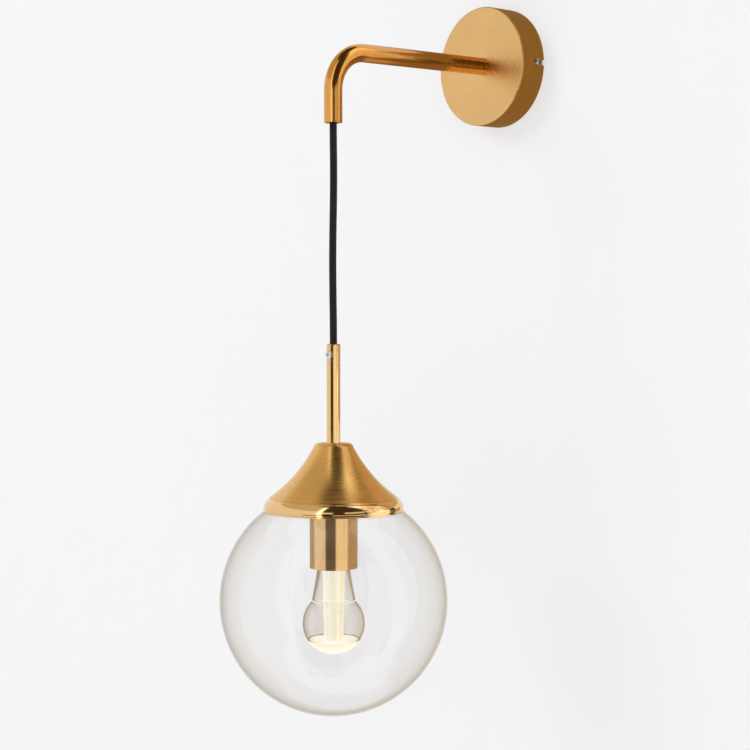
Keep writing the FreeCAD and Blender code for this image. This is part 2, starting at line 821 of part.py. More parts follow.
def spring_clips():
    """Three spring leaves inside the glass neck: a riveted foot, a leg and a lead-in lip."""
    leg_out = sphere_height(neck_inner_r - skin_gap, clip_width / 2)
    leg_in = leg_out - clip_t
    bend = clip_bend_r
    soft = bend * (1 - math.sqrt(0.5))
    hard = (bend - clip_t) * (1 - math.sqrt(0.5))
    lip_top = clip_lip - clip_leg
    lip_in = leg_out - clip_lip
    leaf = outline_face(
        (clip_foot_inner, 0),
        [(leg_out - bend, 0), ((leg_out - soft, -soft), (leg_out, -bend)), (leg_out, lip_top),
         (lip_in, -clip_leg), (lip_in - clip_t, clip_lip_turn - clip_leg),
         (leg_in, lip_top + clip_lip_turn / 2), (leg_in, -bend),
         ((leg_in - hard, -clip_t - hard), (leg_out - bend, -clip_t)), (clip_foot_inner, -clip_t)])
    leaf.translate(at(0, -clip_width / 2, 0))
    clip = leaf.extrude(at(0, clip_width, 0))
    rivet_foot = at(rivet_ring_r, 0, -clip_t - over_cut)
    clip = clip.cut(rod(rivet_d / 2, rivet_foot, at(0, 0, 1), clip_t + 2 * over_cut))
    return on_pendant(Part.makeCompound(turned_copies(clip, clip_angles())), clip_top_z)


def clip_rivets():
    shank_r = rivet_d / 2 - press_gap
    head_r = rivet_d * rivet_head_share
    low = -clip_t
    high = carrier_t
    foot_way, foot = crown(head_r, -low, rivet_head_h - low)
    rivet = lathe((0, -foot[1]), ((foot_way[0], -foot_way[1]), (head_r, low)), (shank_r, low),
                  (shank_r, high), (head_r, high), crown(head_r, high, high + rivet_head_h))
    rivet.translate(at(rivet_ring_r, 0, 0))
    return on_pendant(Part.makeCompound(turned_copies(rivet, clip_angles())), clip_top_z)


def rim_cushion():
    """Soft ring inside the rolled rim, just off the glass."""
    r = cushion_d / 2
    _, _, shoulder_c = cap_curve(0)
    to_wall = cap_shoulder_r - cap_wall - r - cushion_play
    centre = circle_cross((0, globe_z), globe_r + skin_gap + r, shoulder_c, to_wall, 1)
    if centre[0] < shoulder_c[0]:
        centre = circle_cross((0, globe_z), globe_r + skin_gap + r, shoulder_c, to_wall, -1)
    return on_pendant(Part.makeTorus(centre[0], r), centre[1])


def glass_globe():
    """Blown ball with a short straight neck that stands up inside the cap."""
    outer = globe_r
    inner = globe_r - glass_t
    root = neck_root_r
    ball = (0, globe_z)
    # rounding between the ball's outside and the neck's outside
    root_c = (neck_r + root, globe_z + sphere_height(outer + root, neck_r + root))
    root_low = on_circle(ball, outer, root_c)
    root_high = (neck_r, root_c[1])
    # rounding between the neck's bore and the ball's inside
    inner_r = neck_inner_r
    bore_low = (inner_r, globe_z + sphere_height(inner, inner_r))
    lip_mid = (neck_r + inner_r) / 2
    lip = (neck_r - inner_r) / 2
    outer_mid = (outer, globe_z)
    inner_mid = (inner, globe_z)
    below = (1, globe_z - 1)
    glass = lathe((0, globe_z - outer), (on_circle(ball, outer, below), outer_mid),
                  (middle_of_arc(ball, outer, outer_mid, root_low), root_low),
                  (middle_of_arc(root_c, root, root_low, root_high), root_high),
                  (neck_r, neck_top_z - lip), ((lip_mid, neck_top_z), (inner_r, neck_top_z - lip)),
                  bore_low, (middle_of_arc(ball, inner, bore_low, inner_mid), inner_mid),
                  (on_circle(ball, inner, below), (0, globe_z - inner)))
    return on_pendant(glass)


# ---------------------------------------------------------------- lampholder
def holder_cup():
    outer = holder_cup_d / 2
    wall = holder_cup_wall
    inner = outer - wall
    bend = holder_cup_round
    soft = bend * (1 - math.sqrt(0.5))
    cup = lathe((inner, cup_bottom_z), (outer, cup_bottom_z), (outer, cup_top_z - bend),
                ((outer - soft, cup_top_z - soft), (outer - bend, cup_top_z)), (m10_hole_r, cup_top_z),
                (m10_hole_r, cup_top_z - wall), (inner, cup_top_z - wall))
    return on_pendant(cup)


def lampholder_dome():
    outer = holder_d / 2
    inner = outer - dome_wall
    base = dome_base_z
    top = dome_top_z
    slope = dome_slope
    under = top - dome_top_t
    dome = lathe((inner, base), (outer, base), (outer, top - slope), (outer - slope, top), (m10_hole_r, top),
                 (m10_hole_r, under), (inner - slope, under), (inner, under - slope))
    return on_pendant(dome)


def lampholder_skirt():
    outer = holder_d / 2
    bore = skirt_bore_d / 2
    low = skirt_base_z
    skirt = lathe((bore + skirt_bore_edge, low), (outer - skirt_edge, low), (outer, low + skirt_edge),
                  (outer, dome_base_z), (bore, dome_base_z), (bore, low + skirt_bore_edge))
    return on_pendant(skirt)


def lampholder_core():
    """Ceramic insert that carries the contacts; its terminals face up into the dome."""
    outer = skirt_bore_d / 2 - fit_gap
    top = core_base_z + core_t
    hole_low = top - holder_screw_length - over_cut
    core = ring(outer, core_hole_d / 2, core_base_z, top)
    depth = top + over_cut - hole_low
    for side in (-1, 1):
        x = side * holder_screw_spacing / 2
        core = core.cut(rod(holder_screw_d / 2 + fit_gap, at(x, 0, hole_low), at(0, 0, 1), depth))
    return on_pendant(core)


def lampholder_shell():
    """Metal thread shell of the lampholder, drawn to its bore, with the ring that hangs it from the core."""
    outer = skirt_bore_d / 2 - fit_gap
    inner = outer - shell_t
    top = core_base_z
    low = top - shell_length
    rim_r = inner - shell_rim
    shell = lathe((inner, low), (outer, low), (outer, top), (rim_r, top), (rim_r, top - shell_t),
                  (inner, top - shell_t))
    return on_pendant(shell)


def centre_contact():
    """Spring tongue under the core, just off the bulb's contact."""
    low = tip_top_z + contact_gap
    high = core_base_z
    foot_in, foot_out = contact_foot
    half = contact_half
    tongue = outline_face((foot_out, high), [
        (foot_out, high - contact_t), (foot_in, high - contact_t), (half, low), (-half, low),
        (-half, low + contact_t), (half - contact_slope_in, low + contact_t),
        (foot_in - contact_slope_in, high)])
    tongue.translate(at(0, -contact_width / 2, 0))
    return on_pendant(tongue.extrude(at(0, contact_width, 0)))


def lampholder_screws():
    """Two terminal screws on the core."""
    recess = slot_recess(holder_screw_head_d, holder_screw_head_h, slot_cut_width, slot_cut_depth)
    screw = pan_head_screw(holder_screw_head_d, holder_screw_head_h, holder_screw_d, holder_screw_length,
                           recess)
    top = core_base_z + core_t
    both = []
    for side in (-1, 1):
        piece = screw.copy()
        piece.translate(at(side * holder_screw_spacing / 2, 0, top))
        both.append(piece)
    return on_pendant(Part.makeCompound(both))


def holder_lead(side):
    """Core from the stem cable's end to one terminal screw of the lampholder."""
    foot = core_base_z + core_t + lead_d / 2 + fit_gap
    x_in = side * holder_lead_side
    x_out = side * (holder_screw_spacing / 2 - holder_screw_head_d / 2 - fit_gap)
    middle = (cable_end_z + foot) / 2
    route = [(x_in, 0, cable_end_z), (x_in, 0, middle + lead_d / 2), (side * holder_lead_out, 0, foot),
             (x_out, 0, foot)]
    return on_pendant(tube_along(route, lead_d / 2, holder_lead_bend_r))


# ---------------------------------------------------------------- bulb
def bulb_screw_shell():
    """Screw cap E27, its thread drawn as rounded rings."""
    crest = e27_d / 2
    root = e27_root_d / 2
    bore = root - e27_wall
    low = bulb_z
    steps = [(root, low), (root, low + e27_plain)]
    for turn in range(e27_turns):
        z = low + e27_plain + turn * e27_pitch
        steps.append(((crest, z + e27_pitch / 2), (root, z + e27_pitch)))
    top = low + thread_length
    lip_r = bore - e27_top_lip
    shell = lathe((bore, low), *steps, (lip_r, top), (lip_r, top - e27_wall), (bore, top - e27_wall))
    return on_pendant(shell)


def bulb_insulator():
    base_r = e27_root_d / 2 - e27_wall - e27_top_lip - fit_gap
    top = bulb_z + thread_length + insulator_h
    low = top - insulator_h - e27_wall
    tip_r = contact_tip_d / 2
    body = lathe((0, low), (base_r, low), (base_r, low + e27_wall), (tip_r + insulator_top_step, top),
                 (0, top))
    return on_pendant(body)


def bulb_contact_tip():
    low = tip_top_z - contact_tip_h
    r = contact_tip_d / 2
    return on_pendant(lathe((0, low), (r, low), crown(r, low, tip_top_z)))


def bulb_neck():
    """Clear cone from the screw cap to the seam, with a collar that plugs into the cap."""
    collar_r = e27_root_d / 2 - e27_wall - fit_gap
    inner_r = collar_r - bulb_wall
    top = bulb_z + bulb_collar_h
    seam_r = bulb_seam_d / 2
    body = lathe((seam_r - bulb_wall, seam_z), (seam_r, seam_z), (bulb_neck_top_d / 2, bulb_z),
                 (collar_r, bulb_z), (collar_r, top), (inner_r, top), (inner_r, bulb_z))
    return on_pendant(body)


def ball_at(z, radius):
    return sphere_height(radius, z - ball_z)


def bulb_seam_ring():
    """White joint ring between the neck and the ball."""
    low = seam_z - bulb_seam_t
    inner = guide_r(seam_z) + guide_clear
    return on_pendant(lathe((inner, low), (ball_at(low, ball_r), low), (bulb_seam_d / 2, seam_z),
                            (inner, seam_z)))


def bulb_ball():
    top = seam_z - bulb_seam_t
    inner_r = ball_r - bulb_wall
    centre = (0, ball_z)
    out_top = (ball_at(top, ball_r), top)
    out_low = (ball_at(lens_z, ball_r), lens_z)
    in_top = (ball_at(top, inner_r), top)
    in_low = (ball_at(lens_z, inner_r), lens_z)
    body = lathe(in_top, out_top, ((ball_r, ball_z), out_low), in_low,
                 (on_circle(centre, inner_r, (inner_r, ball_z)), in_top))
    return on_pendant(body)


def bulb_lens():
    rim_r = ball_at(lens_z, ball_r)
    low = ball_z - ball_r
    way = middle_of_arc((0, ball_z), ball_r, (rim_r, lens_z), (0, low))
    return on_pendant(lathe((0, lens_z), (rim_r, lens_z), (way, (0, low))))


def guide_top_z():
    return bulb_z + guide_top_above


def guide_r(z):
    share = (guide_top_z() - z) / (guide_top_z() - lens_z)
    return guide_top_d / 2 + (guide_foot_d - guide_top_d) / 2 * share


def bulb_light_guide():
    top = guide_top_z()
    body = lathe((0, lens_z), (guide_foot_d / 2, lens_z), (guide_top_d / 2, top), (0, top))
    return on_pendant(body)


def bulb_led_board():
    low = guide_top_z()
    r = min(led_board_d / 2, e27_root_d / 2 - e27_wall - bulb_wall - 2 * fit_gap)
    return on_pendant(ring(r, led_board_hole_d / 2, low, low + led_board_t))


def bulb_driver():
    """Driver board standing in the screw cap on the light source board."""
    low = guide_top_z() + led_board_t
    half = driver_width / 2
    board = block((-half, -driver_t / 2, low), (half, driver_t / 2, low + driver_height))
    coil = rod(coil_d / 2, at(0, driver_t / 2, low + coil_rise), at(0, 1, 0), coil_h)
    return on_pendant(board.fuse(coil))


# ---------------------------------------------------------------- write every piece
PIECES = {
    "wall_plate": wall_plate,
    "canopy": canopy,
    "canopy_screws": canopy_screws,
    "arm_tube": arm_tube,
    "arm_root_bush": arm_root_bush,
    "arm_nipple": arm_nipple,
    "arm_lock_washer": arm_lock_washer,
    "arm_lock_nut": arm_lock_nut,
    "arm_tip_bush": arm_tip_bush,
    "arm_cable": arm_cable,
    "cord_grip": cord_grip,
    "cord_grip_screw": cord_grip_screw,
    "terminal_block": terminal_block,
    "terminal_screws": terminal_screws,
    "terminal_block_screw": terminal_block_screw,
    "live_lead": lambda: supply_lead(-1),
    "neutral_lead": lambda: supply_lead(1),
    "earth_lead": earth_lead,
    "earth_tag": earth_tag,
    "earth_screw": earth_screw,
    "cord_bend": cord_bend,
    "hanging_cord": hanging_cord,
    "stem_tube": stem_tube,
    "stem_grip_sleeve": stem_grip_sleeve,
    "stem_set_screw": stem_set_screw,
    "stem_cable": stem_cable,
    "threaded_pipe": threaded_pipe,
    "shade_cap": shade_cap,
    "cap_washer": cap_washer,
    "cap_nut": cap_nut,
    "carrier_nuts": carrier_nuts,
    "clip_carrier": clip_carrier,
    "spring_clips": spring_clips,
    "clip_rivets": clip_rivets,
    "rim_cushion": rim_cushion,
    "glass_globe": glass_globe,
    "cup_nut": cup_nut,
    "holder_cup": holder_cup,
    "lampholder_dome": lampholder_dome,
    "lampholder_skirt": lampholder_skirt,
    "lampholder_core": lampholder_core,
    "lampholder_shell": lampholder_shell,
    "centre_contact": centre_contact,
    "lampholder_screws": lampholder_screws,
    "lampholder_live_lead": lambda: holder_lead(-1),
    "lampholder_neutral_lead": lambda: holder_lead(1),
    "bulb_contact_tip": bulb_contact_tip,
    "bulb_screw_shell": bulb_screw_shell,
    "bulb_insulator": bulb_insulator,
    "bulb_driver": bulb_driver,
    "bulb_led_board": bulb_led_board,
    "bulb_neck": bulb_neck,
    "bulb_seam_ring": bulb_seam_ring,
    "bulb_ball": bulb_ball,
    "bulb_lens": bulb_lens,
    "bulb_light_guide": bulb_light_guide,
}

os.makedirs("parts", exist_ok=True)
for name, make in PIECES.items():
    make().exportStep("parts/" + name + ".step")
print("pieces", len(PIECES))
for label, level in (("bend", pivot_z), ("stem top", stem_top_z), ("cap top", cap_top_z), ("rim", cap_bottom_z),
                     ("globe", globe_z), ("cup mouth", cup_bottom_z), ("bulb foot", ball_z - ball_r)):
    print(label, round(level, 2))
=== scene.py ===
"""Globe wall sconce: its finished surfaces, built around its solid parts.

Metres, +Z up, +X to the right seen from the room. The wall is the plane Y = 0 and the room is at -Y.
Pieces that turn about an axis are drawn as an outline of (radius, height) points and turned by one
geometry node tree. The cord's braid is a second tree. Solid parts whose shape is right keep it and get
a finish.
"""
import json
import math

import bpy
from bpy.props import FloatProperty, FloatVectorProperty, IntProperty, PointerProperty
from mathutils import Matrix, Vector


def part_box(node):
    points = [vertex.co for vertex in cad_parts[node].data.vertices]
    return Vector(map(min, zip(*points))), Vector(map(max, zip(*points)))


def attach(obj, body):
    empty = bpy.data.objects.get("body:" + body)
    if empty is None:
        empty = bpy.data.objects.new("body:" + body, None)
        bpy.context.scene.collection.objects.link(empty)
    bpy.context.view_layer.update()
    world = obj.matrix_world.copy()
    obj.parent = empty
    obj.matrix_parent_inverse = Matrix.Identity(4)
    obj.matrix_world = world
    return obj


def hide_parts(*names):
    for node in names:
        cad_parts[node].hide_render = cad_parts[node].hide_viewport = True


bl_info = {
    "name": "Globe Wall Sconce",
    "version": (1, 0, 0),
    "blender": (4, 5, 0),
    "location": "View3D > Sidebar > Sconce",
    "description": "Builds the finished surfaces of a globe wall sconce around its solid parts",
    "category": "Add Mesh",
}

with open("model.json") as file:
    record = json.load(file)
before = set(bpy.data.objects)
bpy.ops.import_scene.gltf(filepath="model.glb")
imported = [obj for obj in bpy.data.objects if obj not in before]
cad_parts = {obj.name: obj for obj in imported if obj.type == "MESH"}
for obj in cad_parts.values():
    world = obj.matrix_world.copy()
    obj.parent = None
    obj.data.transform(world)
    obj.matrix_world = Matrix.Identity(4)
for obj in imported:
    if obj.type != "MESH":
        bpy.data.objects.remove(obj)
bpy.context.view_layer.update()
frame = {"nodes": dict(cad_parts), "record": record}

# ---- places taken from the solid parts
stem_low, stem_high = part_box("stem_tube")
cap_low, cap_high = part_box("shade_cap")
globe_low, globe_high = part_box("glass_globe")
cup_low, cup_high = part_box("holder_cup")
arm_low, arm_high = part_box("arm_tube")
cord_low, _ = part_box("hanging_cord")
bend_low, bend_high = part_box("cord_bend")
neck_low, neck_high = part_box("bulb_neck")
seam_low, seam_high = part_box("bulb_seam_ring")
ball_low, ball_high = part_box("bulb_ball")
lens_low, lens_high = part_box("bulb_lens")
_, guide_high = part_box("bulb_light_guide")

AXIS_Y = (stem_low.y + stem_high.y) / 2          # the pendant's own axis is X = 0, Y = AXIS_Y
BEND_Z = (bend_low.z + bend_high.z) / 2
GLOBE_R = globe_high.x
GLOBE_Z = globe_low.z + GLOBE_R
BALL_R = ball_high.x
BALL_Z = lens_low.z + BALL_R
ON_PENDANT = Matrix.Translation((0, AXIS_Y, 0))

# ---- the camera
CAMERA_AZIMUTH = math.radians(48.99)             # turned from straight on, towards +X
CAMERA_PITCH = math.radians(-2.39)
CAMERA_DISTANCE = 1.4845                         # level distance from the pendant's axis
CAMERA_ASIDE = 0.0363                            # and to the right of the line through that axis
CAMERA_HEIGHT = -0.2222
CAMERA_LENS_MM = 81.6
TO_CAMERA = Vector((math.sin(CAMERA_AZIMUTH), -math.cos(CAMERA_AZIMUTH), 0.0))
CAMERA_RIGHT = Vector((math.cos(CAMERA_AZIMUTH), math.sin(CAMERA_AZIMUTH), 0.0))
WALL_GAP = 0.0004                                # between the wall and a studio card on it

# ---- small sizes that follow the solid parts
MIDDLE_CREST = 0.6                               # share of a strand's height that lies on the braid's middle
RIM_GAP = 0.0003                                 # between the cap's edge and the glass
NECK_SHOULDER = 0.00205                          # of the bulb's neck, where it meets the screw cap's edge
SEAM_LAP = 0.0007                                # of the bulb's joint ring over the light guide


# ---- sizes and colours that a user can change
def length(name, text, default):
    return FloatProperty(name=name, description=text, default=default, min=0, unit="LENGTH", precision=5)


def colour(name, text, default):
    return FloatVectorProperty(name=name, description=text, default=default, min=0, max=1, size=3,
                               subtype="COLOR")


def count(name, text, default, low, high):
    return IntProperty(name=name, description=text, default=default, min=low, max=high)


class SconceSizes(bpy.types.PropertyGroup):
    cap_wall: length("Cap wall", "Sheet thickness of the flared cap", 0.0012)
    cap_flat: length("Cap top", "Diameter of the cap's flat top", 0.0274)
    cap_corner: length("Cap corner", "Radius of the corner round the cap's top", 0.0035)
    cap_flare: length("Cap flare", "Radius of the cap's hollow flare", 0.1285)
    cap_shoulder: length("Cap shoulder", "Radius of the rolled band above the cap's edge", 0.012)
    cap_rim: length("Cap edge", "Upright stretch at the cap's edge", 0.0015)
    cap_groove: length("Cap groove", "Depth of the fine line between flare and band", 0.0003)
    glass_wall: length("Glass wall", "Wall of the blown globe", 0.0022)
    neck_diameter: length("Globe neck", "Outside diameter of the globe's neck", 0.076)
    neck_root: length("Neck root", "Round between the globe and its neck", 0.003)
    arm_wall: length("Arm wall", "Wall of the arm tube", 0.001)
    arm_bend: length("Arm bend", "Radius of the arm's bend, on its axis", 0.035)
    arm_droop: length("Arm droop", "How far the level run of the arm sinks at its far end", 0.0016)
    cup_wall: length("Sleeve wall", "Wall of the lampholder's sleeve", 0.001)
    cup_round: length("Sleeve round", "Round at the top of the lampholder's sleeve", 0.002)
    bore: length("Pipe hole", "Hole for the lamp pipe in cap and sleeve", 0.01)
    cord_diameter: length("Cord", "Outside diameter of the fabric cord", 0.0065)
    braid_pick: length("Braid pick", "Length of one crossing of the braid along the cord", 0.0018)
    braid_relief: length("Braid relief", "How far a strand stands out of the braid", 0.00028)
    braid_strands: count("Braid strands", "Strands that run each way round the cord", 12, 4, 40)
    bulb_wall: length("Bulb wall", "Wall of the bulb's clear shells", 0.0012)
    bulb_collar: length("Bulb collar", "Collar of the clear neck inside the screw cap", 0.003)
    bulb_collar_diameter: length("Bulb collar diameter", "Outside diameter of that collar", 0.0231)
    edge_round: length("Edge round", "Small round on every turned edge", 0.00035)
    segments: count("Turn steps", "Steps round each turned piece", 160, 24, 360)


class SconceColours(bpy.types.PropertyGroup):
    spun_brass: colour("Spun brass", "Spun brass of the canopy", (0.81, 0.50, 0.20))
    drawn_brass: colour("Drawn brass", "Drawn and brushed brass of the arm", (0.76, 0.37, 0.095))
    satin_brass: colour("Satin brass", "Brushed brass of the cap", (0.80, 0.47, 0.15))
    polished_brass: colour("Polished brass", "Polished brass of stem, sleeve and cap band", (0.85, 0.56, 0.26))
    nickel: colour("Nickel", "Plated screws", (0.72, 0.71, 0.69))
    zinc: colour("Zinc", "Zinc plated steel", (0.60, 0.61, 0.63))
    cord: colour("Cord", "Black fabric braid", (0.008, 0.008, 0.009))
    lens: colour("Lit lens", "Light of the bulb's frosted lens", (1.0, 0.98, 0.90))
    guide: colour("Lit guide", "Light of the bulb's middle column", (1.0, 1.0, 0.93))
    wall: colour("Wall", "Wall and floor", (0.91, 0.91, 0.915))


# ---- node helpers
def node(tree, kind, inputs=None, **settings):
    """Add a node. An input's value is a plain value or another node's output socket."""
    made = tree.nodes.new(kind)
    for key, value in settings.items():
        setattr(made, key, value)
    for key, value in (inputs or {}).items():
        if isinstance(value, bpy.types.NodeSocket):
            tree.links.new(value, made.inputs[key])
        else:
            made.inputs[key].default_value = value
    return made


def maths(tree, operation, first, second=0.0, third=0.0):
    inputs = {0: first, 1: second}
    if operation in ("MULTIPLY_ADD", "WRAP"):
        inputs[2] = third
    return node(tree, "ShaderNodeMath", inputs, operation=operation).outputs[0]


def whole(tree, operation, first, second):
    return node(tree, "FunctionNodeIntegerMath", {0: first, 1: second}, operation=operation).outputs[0]


def spread(tree, value, low, high):
    """Map a value from 0..1 to low..high."""
    return node(tree, "ShaderNodeMapRange", {"Value": value, "To Min": low, "To Max": high}).outputs["Result"]


def blend_colour(tree, share, first, second):
    mixer = node(tree, "ShaderNodeMix", {0: share}, data_type="RGBA")
    mixer.inputs[6].default_value = (*first, 1.0)
    mixer.inputs[7].default_value = (*second, 1.0)
    return mixer.outputs[2]


def built_once(name):
    """Mark a function that builds the tree of this name. A tree that is there already is used again."""
    return lambda build: lambda: bpy.data.node_groups.get(name) or build(name)


def new_tree(name, kind, inputs, outputs):
    """A node tree with named sockets: inputs are (name, kind, default), outputs are (name, kind)."""
    tree = bpy.data.node_groups.new(name, kind)
    for label, socket_kind, default in inputs:
        made = tree.interface.new_socket(label, in_out="INPUT", socket_type="NodeSocket" + socket_kind)
        if default is not None:
            made.default_value = default
    for label, socket_kind in outputs:
        tree.interface.new_socket(label, in_out="OUTPUT", socket_type="NodeSocket" + socket_kind)
    return tree, node(tree, "NodeGroupInput").outputs, node(tree, "NodeGroupOutput").inputs


# ---- geometry trees
@built_once("Turned Form")
def turned_form(name):
    """Tree that turns an outline in the XZ plane about the Z axis, with its seam and poles closed."""
    tree, given, result = new_tree(
        name, "GeometryNodeTree",
        [("Outline", "Geometry", None), ("Steps", "Int", 96),
         ("Join Distance", "Float", 2e-6), ("Finish", "Material", None)],
        [("Geometry", "Geometry")])
    count = node(tree, "GeometryNodeAttributeDomainSize", {"Geometry": given["Outline"]}).outputs["Point Count"]
    columns = whole(tree, "ADD", given["Steps"], 1)
    grid = node(tree, "GeometryNodeMeshGrid", {"Vertices X": columns, "Vertices Y": count}).outputs["Mesh"]
    index = node(tree, "GeometryNodeInputIndex").outputs[0]
    step = whole(tree, "DIVIDE", index, count)
    along = whole(tree, "MODULO", index, count)
    angle = maths(tree, "MULTIPLY", maths(tree, "DIVIDE", step, given["Steps"]), 2 * math.pi)
    place = node(tree, "GeometryNodeInputPosition").outputs[0]
    sample = node(tree, "GeometryNodeSampleIndex",
                  {"Geometry": given["Outline"], "Value": place, "Index": along},
                  data_type="FLOAT_VECTOR", domain="POINT")
    point = node(tree, "ShaderNodeSeparateXYZ", {0: sample.outputs["Value"]}).outputs
    turned_x = maths(tree, "MULTIPLY", point["X"], maths(tree, "COSINE", angle))
    turned_y = maths(tree, "MULTIPLY", point["X"], maths(tree, "SINE", angle))
    target = node(tree, "ShaderNodeCombineXYZ", {0: turned_x, 1: turned_y, 2: point["Z"]}).outputs[0]
    moved = node(tree, "GeometryNodeSetPosition", {"Geometry": grid, "Position": target}).outputs[0]
    joined = node(tree, "GeometryNodeMergeByDistance",
                  {"Geometry": moved, "Distance": given["Join Distance"]}).outputs[0]
    return end_tree(tree, joined, given, result)


def end_tree(tree, geometry, given, result):
    """Close a geometry tree with real meshes that carry its finish."""
    real = node(tree, "GeometryNodeRealizeInstances", {"Geometry": geometry}).outputs[0]
    done = node(tree, "GeometryNodeSetMaterial", {"Geometry": real, "Material": given["Finish"]}).outputs[0]
    tree.links.new(done, result["Geometry"])
    return tree


def captured(tree, geometry, value, label):
    """Keep a value on a curve before it is swept, and return the curve and the kept value."""
    keeper = tree.nodes.new("GeometryNodeCaptureAttribute")
    keeper.capture_items.new("FLOAT", label)
    tree.links.new(geometry, keeper.inputs["Geometry"])
    tree.links.new(value, keeper.inputs[label])
    return keeper.outputs["Geometry"], keeper.outputs[label]


@built_once("Braided Sleeve")
def braided_sleeve(name):
    """Tree that sweeps a braid of two crossing sets of strands along a route, over one and under one."""
    tree, given, result = new_tree(
        name, "GeometryNodeTree",
        [("Route", "Geometry", None), ("Radius", "Float", 0.003),
         ("Strands", "Int", 12), ("Pick", "Float", 0.0018),
         ("Relief", "Float", 0.0003), ("Points Per Strand", "Int", 5),
         ("Finish", "Material", None)],
        [("Geometry", "Geometry")])
    spline = node(tree, "GeometryNodeSplineParameter").outputs
    line = node(tree, "GeometryNodeMeshToCurve", {"Mesh": given["Route"]}).outputs[0]
    step = maths(tree, "DIVIDE", given["Pick"], given["Points Per Strand"])
    line = node(tree, "GeometryNodeResampleCurve", {"Curve": line, "Length": step}, mode="LENGTH").outputs[0]
    line, along = captured(tree, line, spline["Length"], "Along")
    sides = whole(tree, "MULTIPLY", given["Strands"], given["Points Per Strand"])
    circle = node(tree, "GeometryNodeCurvePrimitiveCircle", {"Resolution": sides, "Radius": given["Radius"]})
    circle, around = captured(tree, circle.outputs["Curve"], spline["Factor"], "Around")
    tube = node(tree, "GeometryNodeCurveToMesh",
                {"Curve": line, "Profile Curve": circle, "Fill Caps": True}).outputs[0]
    turns = maths(tree, "MULTIPLY", around, given["Strands"])
    picks = maths(tree, "DIVIDE", along, given["Pick"])
    right = maths(tree, "ADD", turns, picks)
    left = maths(tree, "SUBTRACT", turns, picks)
    cells = maths(tree, "ADD", maths(tree, "FLOOR", right), maths(tree, "FLOOR", left))
    over = maths(tree, "FLOORED_MODULO", cells, 2.0)
    across = []
    for side in (right, left):
        half_turn = maths(tree, "MULTIPLY", maths(tree, "FRACT", side), math.pi)
        across.append(maths(tree, "SINE", half_turn))
    crests = []
    for width, run in (across, reversed(across)):
        round_top = maths(tree, "POWER", width, 0.6)
        crests.append(maths(tree, "MULTIPLY", round_top, maths(tree, "MULTIPLY_ADD", run, 0.45, 0.55)))
    crest = node(tree, "ShaderNodeMix", {0: over, 2: crests[0], 3: crests[1]}, data_type="FLOAT").outputs[0]
    rise = maths(tree, "MULTIPLY", maths(tree, "SUBTRACT", crest, MIDDLE_CREST), given["Relief"])
    outwards = node(tree, "GeometryNodeInputNormal").outputs[0]
    offset = node(tree, "ShaderNodeVectorMath", {0: outwards, "Scale": rise}, operation="SCALE").outputs[0]
    shaped = node(tree, "GeometryNodeSetPosition", {"Geometry": tube, "Offset": offset}).outputs[0]
    # The crest height is kept for the cord's finish, which paints shade between the strands and a highlight on
    # their crowns from it.
    kept = node(tree, "GeometryNodeStoreNamedAttribute", {"Geometry": shaped, "Name": "strand", "Value": crest},
                data_type="FLOAT", domain="POINT").outputs[0]
    return end_tree(tree, kept, given, result)


def placed(name, data):
    """A new object in the scene, at the origin."""
    made = bpy.data.objects.new(name, data)
    bpy.context.scene.collection.objects.link(made)
    return made


def plain_mesh(source_mesh, tree, values):
    """Run a geometry tree on a mesh and return the result as a plain mesh."""
    source = placed("source", source_mesh)
    modifier = source.modifiers.new("Build", "NODES")
    modifier.node_group = tree
    for item in tree.interface.items_tree:
        if item.item_type == "SOCKET" and item.in_out == "INPUT" and item.name in values:
            modifier[item.identifier] = values[item.name]
    graph = bpy.context.evaluated_depsgraph_get()
    mesh = bpy.data.meshes.new_from_object(source.evaluated_get(graph))
    bpy.data.objects.remove(source)
    bpy.data.meshes.remove(source_mesh)
    if not mesh.polygons:
        raise RuntimeError("the tree " + tree.name + " made no faces")
    mesh.materials.clear()
    mesh.materials.append(values["Finish"])
    mesh.polygons.foreach_set("material_index", [0] * len(mesh.polygons))
    return mesh


# ---- outlines, as (radius, height) points
def sweep(centre, start, end, steps=12):
    """Points of an arc round centre, from start to end, the short way, both ends included."""
    radius = math.dist(centre, start)
    first = math.atan2(start[1] - centre[1], start[0] - centre[0])
    last = math.atan2(end[1] - centre[1], end[0] - centre[0])
    turn = math.remainder(last - first, 2 * math.pi)
    angles = [first + turn * i / steps for i in range(steps + 1)]
    return [(centre[0] + radius * math.cos(a), centre[1] + radius * math.sin(a)) for a in angles]


def towards(centre, radius, point):
    """Point of a circle in the direction of another point."""
    apart = math.dist(centre, point)
    return tuple(c + (p - c) * radius / apart for c, p in zip(centre, point))


def height_on(radius, at_r):
    return math.sqrt(radius ** 2 - at_r ** 2)


def softened(outline, radius, steps=4, least_turn=math.radians(25)):
    """The closed outline with each sharp corner off the axis replaced by a small round."""
    points = []
    count = len(outline)
    for i, corner in enumerate(outline):
        here = Vector(corner)
        into = here - Vector(outline[i - 1])
        out = Vector(outline[(i + 1) % count]) - here
        turn = into.angle(out, 0.0)
        if turn < least_turn or here.x < radius:
            points.append(corner)
            continue
        cut = min(radius * math.tan(turn / 2), 0.45 * into.length, 0.45 * out.length)
        start = here - into.normalized() * cut
        end = here + out.normalized() * cut
        for k in range(steps + 1):
            t = k / steps
            points.append(tuple(start * (1 - t) ** 2 + here * 2 * t * (1 - t) + end * t ** 2))
    return points


